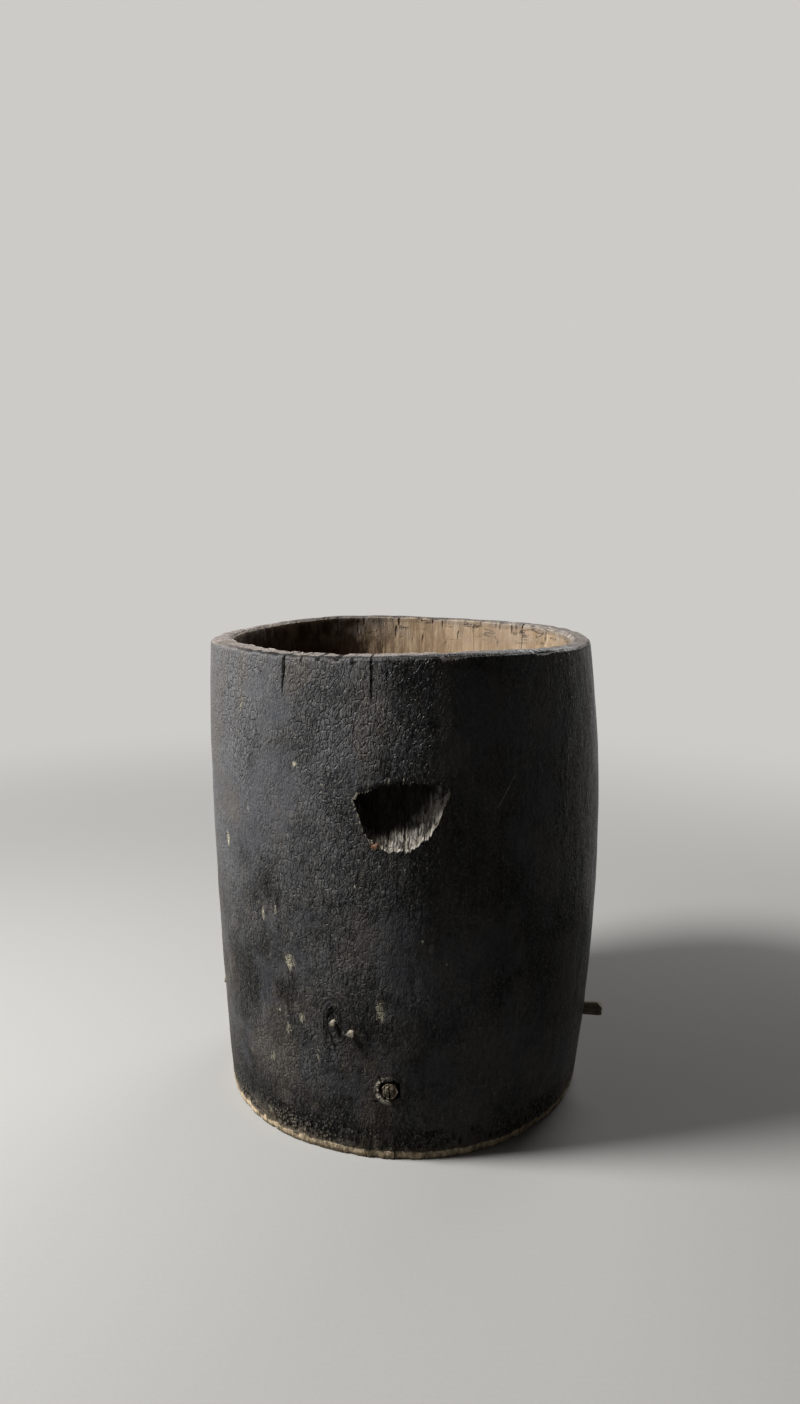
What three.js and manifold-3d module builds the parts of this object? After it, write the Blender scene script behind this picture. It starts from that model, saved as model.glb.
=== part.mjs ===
// A pot hollowed from one log. The trunk is bored right through, a plank bottom is pushed up into its foot
// against a shoulder, and wooden pegs driven through the wall into the planks' edges hold the bottom there.
// Half-moon finger holds are scooped in the front and back of the wall. Units are millimetres and +Z is up.
// Angles are in degrees from the front of the pot, which faces -Y, towards its right side, which faces +X.
import * as THREE from "three";
import { mergeVertices } from "three/addons/utils/BufferGeometryUtils.js";
import Module from "manifold-3d";

const wasm = await Module();
wasm.setup();

// The gap left between pieces that fit together, and how far a cut runs past what it cuts.
const CLEARANCE = 0.3;
const OVERRUN = 12;

// The log's outside, a barrel curve that draws in towards its foot and rim and bows a little to the right.
const LOG = {
  height: 454,
  bellyRadius: 192.4,
  bellyHeight: 290,
  footTaper: 14,
  rimTaper: 7.4,
  bow: 4.6,
  footShift: 1.6,
  footBevelHeight: 7,
  footBevelInset: 3.5,
  rimBevel: 2,
};
const FOOT_RADIUS = LOG.bellyRadius - LOG.footTaper;
const RIM_RADIUS = LOG.bellyRadius - LOG.rimTaper;

// The log's lobes seen from above: how many go round the pot, how far each swells, and where its crest lies
// at the foot and twists to by the rim.
const LOBES = [
  { waves: 2, swell: 0.9, crest: 98, twist: 25 },
  { waves: 3, swell: 1.2, crest: 0, twist: 12 },
  { waves: 5, swell: 0.7, crest: 20, twist: -30 },
];

// The rim's rise and fall round the pot.
const RIM_WAVES = [
  { waves: 2, rise: 1.6, crest: 9 },
  { waves: 4, rise: 1.1, crest: 22 },
];

// The bore, by the wall that it leaves. Its mouth is not quite true to the outside, so the rim is thickest at
// the front and at the left.
const BORE = {
  rimWall: 20,
  footWall: 22.4,
  mouthHeight: 110,
  mouthBevel: 2.5,
  mouthShift: 2.6,
  mouthSkew: 3.2,
};

// The plank bottom, the seat that it is pushed up into, and the dowels across its joints.
const BOTTOM = {
  rise: 56,
  thickness: 28,
  shoulder: 7,
  edgeBevel: 4,
  shoulderBevelWidth: 8.2,
  shoulderBevelDrop: 3,
  frontJoint: -56,
  backJoint: 52,
  dowelRadius: 3,
  dowelLength: 52,
  dowelSpread: 176,
};
const BOTTOM_TOP = BOTTOM.rise + BOTTOM.thickness;
const BORE_FOOT_RADIUS = FOOT_RADIUS - BORE.footWall;
const BORE_RIM_RADIUS = RIM_RADIUS - BORE.rimWall;
const SEAT_RADIUS = BORE_FOOT_RADIUS + BOTTOM.shoulder;
const BOARD_RADIUS = SEAT_RADIUS - CLEARANCE;

// The pegs that hold the bottom. Each thins towards its point and stands a little proud of the wall, in a mouth
// that wear has widened, and a split peg has opened along the grain at its head.
const PEG = {
  height: BOTTOM.rise + BOTTOM.thickness / 2,
  headRadius: 7.2,
  pointRadius: 5.6,
  bite: 34,
  headBevel: 1.2,
  mouthWear: 3.3,
  mouthDepth: 4,
  splitWidth: 1.4,
  splitDepth: 9,
};
const PEGS = [
  { name: "front_peg", angle: -3.3, proud: 1.2, split: true },
  { name: "right_peg", angle: 83, proud: 18.5, split: false },
  { name: "back_peg", angle: 178, proud: 2.5, split: true },
  { name: "left_peg", angle: -96, proud: 0.8, split: false },
];

// Small pins driven part of the way into the wall.
const PIN_DEPTH = 20;
const PINS = [
  { name: "pale_pin", angle: -13.6, height: 123.3, radius: 3.3, proud: 2.8 },
  { name: "knot_pin", angle: -18.9, height: 130.3, radius: 2.7, proud: 2.6 },
  { name: "left_pin", angle: -87, height: 94, radius: 3, proud: 2.4 },
];

// The sunken knot round one of the pins.
const KNOT = { pin: "knot_pin", halfWidth: 9, halfHeight: 15, sink: 2.2 };

// The finger holds. Each is deepest under its ledge, where some of the wall is left behind it, and runs out
// towards its curved lower lip.
const HOLD = {
  angles: [0, 180],
  width: 82,
  height: 61,
  ledgeBelowRim: 102.5,
  woodBehind: 9,
  lipDepth: 3,
};

// A hold's outline as shares of half its width and of its height: over its ledge from left to right, and then
// back round its lip.
const LEDGE_SHARES = [[-1, 0.73], [-0.51, 0.94], [0.12, 1], [1, 0.88]];
const LIP_SHARES = [[0.85, 0.57], [0.64, 0.27], [0.27, 0.05], [-0.3, 0.01], [-0.74, 0.21], [-0.95, 0.6], [-1, 0.73]];

// Drying cracks, each a wedge through the wall from the rim down or from the foot up.
const CRACKS = [
  { from: "rim", angle: -33.2, width: 1.8, length: 36 },
  { from: "rim", angle: -7.6, width: 1.6, length: 33 },
  { from: "rim", angle: 128, width: 1.6, length: 44 },
  { from: "foot", angle: -1.8, width: 1.4, length: 27 },
  { from: "foot", angle: 152, width: 1.6, length: 38 },
];

// How finely the round forms are drawn.
const LOG_SIDES = 72;
const LOG_RINGS = 12;
const PEG_SIDES = 12;
const OUTLINE_STEPS = 3;

const inRadians = THREE.MathUtils.degToRad;
const wave = (waves, angle, crest) => Math.cos(waves * inRadians(angle - crest));
const asPoint = ([x, y]) => new THREE.Vector2(x, y);

// The log's barrel curve, from its belly towards the foot or the rim.
function barrelRadius(height) {
  const [end, endHeight] = height < LOG.bellyHeight ? [FOOT_RADIUS, 0] : [RIM_RADIUS, LOG.height];
  const share = (height - LOG.bellyHeight) / (endHeight - LOG.bellyHeight);
  return LOG.bellyRadius + (end - LOG.bellyRadius) * share * share;
}

// How far the lobes swell the log at an angle and height.
function lobeSwell(angle, height) {
  const twisted = ({ crest, twist }) => crest + (twist * height) / LOG.height;
  return LOBES.reduce((sum, lobe) => sum + lobe.swell * wave(lobe.waves, angle, twisted(lobe)), 0);
}

// How far the log's middle lies to the right of the bore's axis at a height.
function bowAt(height) {
  const share = THREE.MathUtils.clamp(height / LOG.height, 0, 1);
  return LOG.footShift * (1 - share) + 4 * LOG.bow * share * (1 - share);
}

// How far the outside of the wall lies from the bore's axis.
function wallReach(angle, height) {
  return barrelRadius(height) + lobeSwell(angle, height) + bowAt(height) * Math.sin(inRadians(angle));
}

// How far the rim's wave lifts a point of the log, which fades towards the foot.
function rimLift(angle, height) {
  const rise = RIM_WAVES.reduce((sum, each) => sum + each.rise * wave(each.waves, angle, each.crest), 0);
  return rise * (height / LOG.height) ** 2;
}

// The bore's straight taper, and how far its mouth strays from that at an angle.
function boreRadius(height) {
  const share = THREE.MathUtils.clamp((height - BOTTOM_TOP) / (LOG.height - BOTTOM_TOP), 0, 1);
  return THREE.MathUtils.lerp(BORE_FOOT_RADIUS, BORE_RIM_RADIUS, share);
}

function mouthStray(angle, height) {
  const share = THREE.MathUtils.smoothstep(height, LOG.height - BORE.mouthHeight, LOG.height);
  const turn = inRadians(angle);
  return share * (BORE.mouthSkew * Math.sin(2 * turn) - BORE.mouthShift * Math.cos(turn));
}

// A solid made from a geometry, which has to be one closed surface.
function solid(geometry) {
  const bare = geometry.clone();
  bare.deleteAttribute("normal");
  bare.deleteAttribute("uv");
  const merged = mergeVertices(bare);
  const vertProperties = merged.attributes.position.array;
  const triVerts = Uint32Array.from(merged.index.array);
  return new wasm.Manifold(new wasm.Mesh({ numProp: 3, vertProperties, triVerts }));
}

// The geometry of a solid, with flat faces.
function geometryOf(made) {
  const { vertProperties, triVerts, numProp } = made.getMesh();
  const shared = new THREE.BufferGeometry();
  shared.setAttribute("position", new THREE.BufferAttribute(vertProperties, numProp));
  shared.setIndex(new THREE.BufferAttribute(triVerts, 1));
  const faceted = shared.toNonIndexed();
  faceted.computeVertexNormals();
  return faceted;
}

// A solid turned about +Z from a profile of [radius, height] points that starts and ends on the axis. The shape
// function gives each point off the axis its new radius, height and shift to the right.
function turned(profile, shape) {
  const blank = new THREE.LatheGeometry(profile.map(asPoint), LOG_SIDES).rotateX(Math.PI / 2);
  const points = blank.attributes.position;
  for (let i = 0; i < points.count; i += 1) {
    const [x, y, z] = [points.getX(i), points.getY(i), points.getZ(i)];
    const radius = Math.hypot(x, y);
    if (radius < CLEARANCE) continue;
    const turn = Math.atan2(x, -y);
    const moved = shape(THREE.MathUtils.radToDeg(turn), radius, z);
    points.setXYZ(i, moved.radius * Math.sin(turn) + moved.shift, -moved.radius * Math.cos(turn), moved.height);
  }
  return solid(blank);
}

// Turns a geometry that was made along +Y, with its far end outwards, to an angle and height of the wall.
function atWall(geometry, { angle, height }) {
  return solid(geometry.rotateZ(Math.PI + inRadians(angle)).translate(0, 0, height));
}

// A round bar along +Y between two distances from the axis, with a radius at each.
function bar(from, fromRadius, to, toRadius, sides = PEG_SIDES) {
  return new THREE.CylinderGeometry(toRadius, fromRadius, to - from, sides).translate(0, (from + to) / 2, 0);
}

// An outline drawn on the wall, run inwards to outwards between two distances from the axis.
function runThrough(outline, from, to) {
  const settings = { depth: to - from, curveSegments: OUTLINE_STEPS, bevelEnabled: false };
  return new THREE.ExtrudeGeometry(outline, settings).rotateX(Math.PI / 2).rotateZ(Math.PI).translate(0, from, 0);
}

// The log as a solid trunk, with its barrel curve, lobes, bow, wavy rim and bevelled foot.
function trunk() {
  const profile = [[0, 0], [FOOT_RADIUS - LOG.footBevelInset, 0]];
  for (let ring = 0; ring <= LOG_RINGS; ring += 1) {
    const height = THREE.MathUtils.lerp(LOG.footBevelHeight, LOG.height - LOG.rimBevel, ring / LOG_RINGS);
    profile.push([barrelRadius(height), height]);
  }
  profile.push([RIM_RADIUS - LOG.rimBevel, LOG.height], [0, LOG.height]);
  return turned(profile, (angle, radius, height) => ({
    radius: radius + lobeSwell(angle, height),
    height: height + rimLift(angle, height),
    shift: bowAt(height),
  }));
}

// What the bore takes out of the trunk, from the shoulder up through the bevelled mouth.
function boreCut() {
  const mouthFoot = LOG.height - BORE.mouthHeight;
  const lip = LOG.height - BORE.mouthBevel;
  const heights = [BOTTOM_TOP, mouthFoot, (2 * mouthFoot + lip) / 3, (mouthFoot + 2 * lip) / 3, lip];
  const profile = [[0, BOTTOM_TOP]];
  for (const height of heights) profile.push([boreRadius(height), height]);
  profile.push([BORE_RIM_RADIUS + BORE.mouthBevel + OVERRUN, LOG.height + OVERRUN], [0, LOG.height + OVERRUN]);
  return turned(profile, (angle, radius, height) => ({
    radius: radius + mouthStray(angle, height),
    height: height > mouthFoot ? height + rimLift(angle, height) : height,
    shift: 0,
  }));
}

// The round seat that is cut up into the foot for the bottom.
function seatCut() {
  return solid(bar(-OVERRUN, SEAT_RADIUS, BOTTOM_TOP + CLEARANCE, SEAT_RADIUS, LOG_SIDES).rotateX(Math.PI / 2));
}

// A finger hold, its outline run into the wall as far as a flat floor that slopes out to the lip.
function holdCut(angle) {
  const ledge = LOG.height - HOLD.ledgeBelowRim;
  const lip = { angle, height: ledge - HOLD.height };
  const wall = wallReach(angle, lip.height);
  const ledgeDepth = wallReach(angle, ledge) - boreRadius(ledge) - HOLD.woodBehind;
  const at = ([across, up]) => new THREE.Vector2((across * HOLD.width) / 2, up * HOLD.height);
  const outline = new THREE.Shape();
  outline.moveTo(...at(LEDGE_SHARES[0]));
  outline.splineThru(LEDGE_SHARES.slice(1).map(at));
  outline.splineThru(LIP_SHARES.map(at));
  const slope = Math.atan2(ledgeDepth - HOLD.lipDepth, HOLD.height);
  const overFloor = new THREE.BoxGeometry(2 * HOLD.width, 2 * HOLD.height, 4 * HOLD.height);
  overFloor.translate(0, HOLD.height, 0).rotateX(slope).translate(0, wall - HOLD.lipDepth, 0);
  const halfMoon = atWall(runThrough(outline, wall - 2 * ledgeDepth, wall + OVERRUN), lip);
  return halfMoon.intersect(atWall(overFloor, lip));
}

// A drying crack, a thin wedge through the wall.
function crackCut({ from, angle, width, length }) {
  const [edge, tip] = from === "rim" ? [LOG.height + OVERRUN, LOG.height - length] : [-OVERRUN, length];
  const wedge = new THREE.Shape([[-width / 2, edge], [width / 2, edge], [0, tip]].map(asPoint));
  const run = runThrough(wedge, BORE_FOOT_RADIUS - OVERRUN, LOG.bellyRadius + OVERRUN);
  return atWall(run, { angle, height: 0 });
}

const onPegLine = ({ angle }) => ({ angle, height: PEG.height });
const pegPoint = BOARD_RADIUS - PEG.bite;
const pegHead = ({ angle, proud }) => wallReach(angle, PEG.height) + proud;

// The radius of a peg's taper at a distance from the axis, which carries on past both its ends.
function taper(peg, distance) {
  const share = (distance - pegPoint) / (pegHead(peg) - pegPoint);
  return THREE.MathUtils.lerp(PEG.pointRadius, PEG.headRadius, share);
}

// A peg's hole through the wall and into the planks, with the worn mouth round its head.
function pegHole(peg) {
  const wall = wallReach(peg.angle, PEG.height);
  const [from, to] = [pegPoint - CLEARANCE, pegHead(peg) + OVERRUN];
  const shank = bar(from, taper(peg, from) + CLEARANCE, to, taper(peg, to) + CLEARANCE);
  const wornOver = (PEG.mouthWear * (PEG.mouthDepth + OVERRUN)) / PEG.mouthDepth;
  const mouth = bar(wall - PEG.mouthDepth, PEG.headRadius, wall + OVERRUN, PEG.headRadius + wornOver);
  return atWall(shank, onPegLine(peg)).add(atWall(mouth, onPegLine(peg)));
}

// A peg, bevelled round its head.
function pegSolid(peg) {
  const head = pegHead(peg);
  const neck = head - PEG.headBevel;
  const profile = [
    [0, pegPoint],
    [PEG.pointRadius, pegPoint],
    [taper(peg, neck), neck],
    [PEG.headRadius - PEG.headBevel, head],
    [0, head],
  ];
  const whole = atWall(new THREE.LatheGeometry(profile.map(asPoint), PEG_SIDES), onPegLine(peg));
  if (!peg.split) return whole;
  const split = new THREE.BoxGeometry(PEG.splitWidth, 2 * PEG.splitDepth, 4 * PEG.headRadius).translate(0, head, 0);
  return whole.subtract(atWall(split, onPegLine(peg)));
}

// A pin, and the blind hole that it is driven into.
function pinSolid(pin) {
  const wall = wallReach(pin.angle, pin.height);
  return atWall(bar(wall - PIN_DEPTH, pin.radius, wall + pin.proud, pin.radius), pin);
}

function pinHole(pin) {
  const wall = wallReach(pin.angle, pin.height);
  const radius = pin.radius + CLEARANCE;
  return atWall(bar(wall - PIN_DEPTH - CLEARANCE, radius, wall + pin.proud + OVERRUN, radius), pin);
}

// The shallow dish of the sunken knot.
function knotCut() {
  const pin = PINS.find(({ name }) => name === KNOT.pin);
  const dish = new THREE.SphereGeometry(1, PEG_SIDES, PEG_SIDES / 2);
  dish.scale(KNOT.halfWidth, KNOT.sink, KNOT.halfHeight).translate(0, wallReach(pin.angle, pin.height), 0);
  return atWall(dish, pin);
}

// The log with all its cuts.
function hollowLog() {
  const holes = [...PEGS.map(pegHole), ...PINS.map(pinHole)];
  const cuts = [boreCut(), seatCut(), knotCut(), ...HOLD.angles.map(holdCut), ...CRACKS.map(crackCut), ...holes];
  return cuts.reduce((log, cut) => log.subtract(cut), trunk());
}

// The dowels lie across the planks' joints, near each end of the joint.
const DOWELS = [
  { name: "front_left_dowel", x: -BOTTOM.dowelSpread / 2, y: BOTTOM.frontJoint },
  { name: "front_right_dowel", x: BOTTOM.dowelSpread / 2, y: BOTTOM.frontJoint },
  { name: "back_left_dowel", x: -BOTTOM.dowelSpread / 2, y: BOTTOM.backJoint },
  { name: "back_right_dowel", x: BOTTOM.dowelSpread / 2, y: BOTTOM.backJoint },
];

function dowelSolid({ x, y }, gap = 0) {
  const radius = BOTTOM.dowelRadius + gap;
  const rod = new THREE.CylinderGeometry(radius, radius, BOTTOM.dowelLength + 2 * gap, PEG_SIDES);
  return solid(rod.translate(x, y, PEG.height));
}

// The whole round bottom before it is parted into planks, bevelled round its lower edge and, more widely,
// where it passes under the shoulder.
function bottomDisc() {
  const profile = [
    [0, BOTTOM.rise],
    [BOARD_RADIUS - BOTTOM.edgeBevel, BOTTOM.rise],
    [BOARD_RADIUS, BOTTOM.rise + BOTTOM.edgeBevel],
    [BOARD_RADIUS, BOTTOM_TOP - BOTTOM.shoulderBevelDrop],
    [BOARD_RADIUS - BOTTOM.shoulderBevelWidth, BOTTOM_TOP],
    [0, BOTTOM_TOP],
  ];
  return solid(new THREE.LatheGeometry(profile.map(asPoint), LOG_SIDES).rotateX(Math.PI / 2));
}

// One plank of the bottom between two places along Y, with its peg and dowel holes.
function plank(from, to) {
  const slab = new THREE.BoxGeometry(4 * BOARD_RADIUS, to - from, 4 * LOG.height).translate(0, (from + to) / 2, 0);
  const holes = [...PEGS.map(pegHole), ...DOWELS.map((dowel) => dowelSolid(dowel, CLEARANCE))];
  return holes.reduce((board, hole) => board.subtract(hole), bottomDisc().intersect(solid(slab)));
}

// The colour and roughness of each wood.
const WOODS = {
  log: { color: 0x34312f, roughness: 0.62 },
  board: { color: 0x8a6f53, roughness: 0.8 },
  peg: { color: 0x6b5c48, roughness: 0.75 },
  dowel: { color: 0xb79a68, roughness: 0.6 },
  pin: { color: 0xb9b3a6, roughness: 0.7 },
};

const pot = new THREE.Group();
pot.name = "log_pot";

function addPiece(name, made, wood) {
  const mesh = new THREE.Mesh(geometryOf(made), new THREE.MeshStandardMaterial({ ...wood, metalness: 0 }));
  mesh.name = name;
  pot.add(mesh);
}

const pastEdge = BOARD_RADIUS + OVERRUN;
const halfGap = CLEARANCE / 2;
addPiece("hollow_log", hollowLog(), WOODS.log);
addPiece("bottom_plank_front", plank(-pastEdge, BOTTOM.frontJoint - halfGap), WOODS.board);
addPiece("bottom_plank_middle", plank(BOTTOM.frontJoint + halfGap, BOTTOM.backJoint - halfGap), WOODS.board);
addPiece("bottom_plank_back", plank(BOTTOM.backJoint + halfGap, pastEdge), WOODS.board);
for (const dowel of DOWELS) addPiece(dowel.name, dowelSolid(dowel), WOODS.dowel);
for (const peg of PEGS) addPiece(peg.name, pegSolid(peg), WOODS.peg);
for (const pin of PINS) addPiece(pin.name, pinSolid(pin), WOODS.pin);

// The origin lies on the surface that the pot stands on, under the middle of its overall box.
const extent = new THREE.Box3().setFromObject(pot);
const middle = extent.getCenter(new THREE.Vector3());
pot.position.set(-middle.x, -middle.y, -extent.min.z);

export default pot;
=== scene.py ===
import math

import bpy
import numpy as np
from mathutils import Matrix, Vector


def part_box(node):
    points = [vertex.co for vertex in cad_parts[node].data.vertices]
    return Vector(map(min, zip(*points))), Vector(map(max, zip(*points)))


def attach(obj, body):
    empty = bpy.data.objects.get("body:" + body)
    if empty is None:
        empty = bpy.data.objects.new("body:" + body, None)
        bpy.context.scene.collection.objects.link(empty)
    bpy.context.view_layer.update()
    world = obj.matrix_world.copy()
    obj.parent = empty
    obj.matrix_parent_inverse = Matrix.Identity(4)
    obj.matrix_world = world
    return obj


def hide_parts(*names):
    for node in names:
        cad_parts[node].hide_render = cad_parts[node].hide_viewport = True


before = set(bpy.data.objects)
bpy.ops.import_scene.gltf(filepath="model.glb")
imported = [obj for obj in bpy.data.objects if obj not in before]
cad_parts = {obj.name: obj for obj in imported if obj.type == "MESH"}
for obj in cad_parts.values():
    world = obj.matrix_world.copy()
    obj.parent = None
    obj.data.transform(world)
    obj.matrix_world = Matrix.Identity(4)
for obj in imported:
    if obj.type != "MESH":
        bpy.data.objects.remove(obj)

bl_info = {
    "name": "Log Pot",
    "version": (1, 0, 0),
    "blender": (4, 5, 0),
    "location": "View3D > Sidebar > Log Pot",
    "description": "Builds a smoke-blackened pot hollowed from one log, with its plank bottom, pegs and pins",
    "category": "Add Mesh",
}

# Angles are in degrees from the front of the pot, which faces -Y, towards its right side, which faces +X.
# Lengths are in metres. Wall points are written as (across, up, out), seen from outside the wall.


def span(*nodes):
    """The lowest and highest corner of several frame pieces taken together."""
    corners = np.array([[list(corner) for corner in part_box(node)] for node in nodes])
    return corners[:, 0].min(axis=0), corners[:, 1].max(axis=0)


PLANKS = ("bottom_plank_front", "bottom_plank_middle", "bottom_plank_back")
DOWELS = ("front_left_dowel", "front_right_dowel", "back_left_dowel", "back_right_dowel")
BOTTOM_LOW, BOTTOM_HIGH = span(*PLANKS)
AXIS_X, AXIS_Y = (float(middle) for middle in (BOTTOM_LOW + BOTTOM_HIGH)[:2] / 2)
BOARD_RADIUS = (BOTTOM_HIGH - BOTTOM_LOW)[0] / 2
FLOOR_HEIGHT = BOTTOM_HIGH[2]
PEG_HEIGHT = (BOTTOM_LOW + BOTTOM_HIGH)[2] / 2

# The log's lobes: how many go round, how far each swells, its crest's angle at the foot, and how far the
# crest has turned by the rim.
LOBES = ((2, 0.0009, 98, 25), (3, 0.0012, 0, 12), (5, 0.0007, 20, -30))
# The rim's waves: how many go round, how far each rises, and its crest's angle.
RIM_WAVES = ((2, 0.0016, 9), (4, 0.0011, 22))

# Each bottom peg: its angle, how far it stands proud, and whether it has split.
PEGS = {
    "front_peg": (-3.3, 0.0012, True),
    "right_peg": (83, 0.0185, False),
    "back_peg": (178, 0.0025, True),
    "left_peg": (-96, 0.0008, False),
}
# How far a peg reaches into the bottom, its radius there, how many facets it has, and its hole's ease.
PEG_BITE = 0.034
PEG_POINT_RADIUS = 0.0056
PEG_FACETS = 7
HOLE_EASE = 0.0003
# How far a cutter reaches out past the wall, and where one that goes through the wall starts inside.
PAST_WALL = 0.012
INSIDE_BORE = 0.13
# The worn mouth of a peg's hole: how far below the wall, and how much wider than the peg's head.
PEG_MOUTH = ((0.006, 0.0008), (0.0035, 0.0026), (0.0009, 0.0034), (-PAST_WALL, 0.009))

# Each small pin: its angle, height, radius and how far it stands proud.
PINS = {
    "pale_pin": (-13.6, 0.1233, 0.0033, 0.0028),
    "knot_pin": (-18.9, 0.1303, 0.0027, 0.0026),
    "left_pin": (-87, 0.094, 0.003, 0.0024),
}
PIN_DEPTH = 0.02
KNOT_ANGLE, KNOT_HEIGHT = PINS["knot_pin"][:2]

# Where the finger holds lie, and their outline as shares of half the width and of the height: under the
# ledge, and round the lip.
HOLD_ANGLES = (0, 180)
LEDGE_SHARES = ((-1, 0.75), (-0.51, 0.94), (0.12, 1), (1, 0.9))
LIP_SHARES = (
    (-1, 0.7), (-0.95, 0.6), (-0.74, 0.21), (-0.3, 0.01),
    (0.27, 0.05), (0.64, 0.27), (0.85, 0.57), (1, 0.84),
)

# Drying cracks: angle, lowest and highest point, width, depth below the outside (0 goes right through the
# wall), and how far the crack leans across between the inside and the outside of the wall.
CRACKS = (
    (-33.2, 0.417, 0.47, 0.0026, 0, -0.005),
    (-7.6, 0.4195, 0.47, 0.0023, 0, 0.001),
    (128, 0.409, 0.47, 0.0017, 0, 0.002),
    (-39.2, 0.446, 0.47, 0.0016, 0, 0.002),
    (-21.6, 0.4485, 0.47, 0.0011, 0.006, 0),
    (14, 0.449, 0.47, 0.0009, 0.005, 0),
    (51, 0.443, 0.47, 0.0012, 0.006, 0),
    (-1.8, -0.01, 0.0265, 0.0015, 0, 0.001),
    (152, -0.01, 0.038, 0.0017, 0, 0.002),
    (-10.4, -0.01, 0.016, 0.0016, 0.009, 0),
    (6.6, -0.01, 0.011, 0.0022, 0.007, 0),
    (-41, -0.01, 0.021, 0.0014, 0.008, 0),
    (-56, -0.01, 0.024, 0.0018, 0.01, 0),
    (31, -0.01, 0.013, 0.0014, 0.006, 0),
)

# Pale marks on the outside: angle, height, half width, half height, how strongly each shows, and how far it
# leans across for each metre up, where it leans.
MARKS = (
    (-5.5, 0.1473, 0.0046, 0.0105, 0.95),
    (-32.3, 0.1795, 0.0066, 0.0080, 0.75),
    (-41.8, 0.2182, 0.0020, 0.0075, 0.55),
    (-36.7, 0.2253, 0.0018, 0.0050, 0.5),
    (-59.3, 0.2729, 0.0026, 0.0085, 1.7),
    (-29.0, 0.3606, 0.0021, 0.0027, 2.2),
    (-33.8, 0.1131, 0.0040, 0.0060, 0.6),
    (-28.9, 0.1282, 0.0030, 0.0048, 0.65),
    (-40.6, 0.0774, 0.0030, 0.0055, 0.5),
    (-36.8, 0.1287, 0.0013, 0.0018, 1.6),
    (5.3, 0.2127, 0.0013, 0.0014, 2.4),
    (11.6, 0.1903, 0.0012, 0.0012, 1.4),
    (35.2, 0.0179, 0.0024, 0.0026, 1.0),
    (3.9, 0.0260, 0.0024, 0.0030, 0.8),
    (-15.2, 0.1210, 0.0050, 0.0022, 0.6),
    (-12.0, 0.2600, 0.0009, 0.0030, 0.6),
    (-47.0, 0.3100, 0.0012, 0.0070, 0.4),
    (-24.0, 0.0950, 0.0016, 0.0060, 0.45),
    (-5.7, 0.0640, 0.0011, 0.0050, 1.0),
    (27.1, 0.3352, 0.0007, 0.0165, 0.9, 0.68),
    (-44.0, 0.0200, 0.0022, 0.0040, 0.9, -0.3),
    (-57.5, 0.0120, 0.0030, 0.0050, 0.9),
    (-52.0, 0.0160, 0.0020, 0.0034, 0.8),
    (-20.5, 0.3460, 0.0022, 0.0011, 0.6),
    (-50.0, 0.4040, 0.0016, 0.0060, 0.45, 0.2),
)

# Dark spots and streaks painted as the shade in pits, in nicks on the rim and in the tails of the rim's
# cracks, written as the marks are. A plain one has the strength 1.
PITS = (
    (2.5, 0.1755, 0.0010, 0.0011),
    (6.7, 0.1583, 0.0011, 0.0010),
    (4.8, 0.1660, 0.0009, 0.0009),
    (-5.9, 0.0812, 0.0014, 0.0048, 1.5, -0.33),
    (-7.2, 0.0592, 0.0026, 0.0018, 1.4, 0.8),
    (-21.9, 0.4508, 0.0018, 0.0016),
    (-27.2, 0.4510, 0.0012, 0.0040),
    (-12.7, 0.4510, 0.0020, 0.0034),
    (-3.0, 0.4515, 0.0015, 0.0024),
    (-17.0, 0.4528, 0.0034, 0.0030),
    (9.0, 0.4526, 0.0034, 0.0024),
    (22.0, 0.4522, 0.0026, 0.0028),
    (-22.5, 0.4530, 0.0026, 0.0032),
    (-33.2, 0.4360, 0.0013, 0.0200),
    (-7.6, 0.4370, 0.0013, 0.0190),
    (-18.9, 0.0281, 0.0012, 0.0028),
    (-16.8, 0.0294, 0.0010, 0.0030),
    (-13.5, 0.0302, 0.0014, 0.0030),
    (-24.9, 0.0223, 0.0014, 0.0026),
    (-19.6, 0.1150, 0.0016, 0.0044),
    (-18.7, 0.1070, 0.0012, 0.0050),
    (-21.9, 0.1260, 0.0012, 0.0060),
    (-21.2, 0.1180, 0.0012, 0.0040),
    (-17.2, 0.1180, 0.0011, 0.0036),
    (-20.4, 0.1010, 0.0010, 0.0050),
)

# The fresh chip beside the lip of the front finger hold, written as the marks are.
CHIP = (-6.9, 0.2965, 0.0062, 0.0042)
# How deep a mark of full strength is dented, and the half width, half height and depth of the knot's dish.
MARK_DEPTH = 0.0004
KNOT_DISH = (0.0082, 0.0135, 0.0024)

# The kinds of face on the cut log: its skin and bore, the bare wood of a finger hold, and a dark cut.
SKIN, HOLD_WOOD, DARK_CUT = range(3)

# The log is turned in so many steps, which lie closer at the front by this share.
TURN_STEPS = 400
FRONT_CROWDING = 0.3
# How far the edges of the rim are rounded outside and inside, and the ease over the bottom.
RIM_ROUNDING = 0.002
LIP_ROUNDING = 0.0025
SEAT_EASE = 0.0003
# How deep the relief of the log's wood can be, and how strongly its wood and the others mirror.
LOG_RELIEF = 0.0022
LOG_SHEEN = 0.04
WOOD_SHEEN = 0.15

# Each soft lamp: its place, its width and the stage's setting that holds its power. All aim at one point.
LAMPS = {
    "key lamp": ((-1.11, -0.29, 1.55), 0.42, "key_power"),
    "side lamp": ((-1.9, -0.8, 1.1), 1.2, "side_power"),
    "fill lamp": ((2.0, -1.2, 1.0), 1.6, "fill_power"),
    "back lamp": ((1.0, 1.8, 1.3), 1.4, "back_power"),
}
LAMP_AIM = (0, 0, 0.25)

# The camera's turn to the left in degrees, the floor's radius, and where it fades to the plain backdrop.
CAMERA_TURN = 0.09
FLOOR_RADIUS = 6
FLOOR_FADE = (0.45, 1.9)


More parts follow.
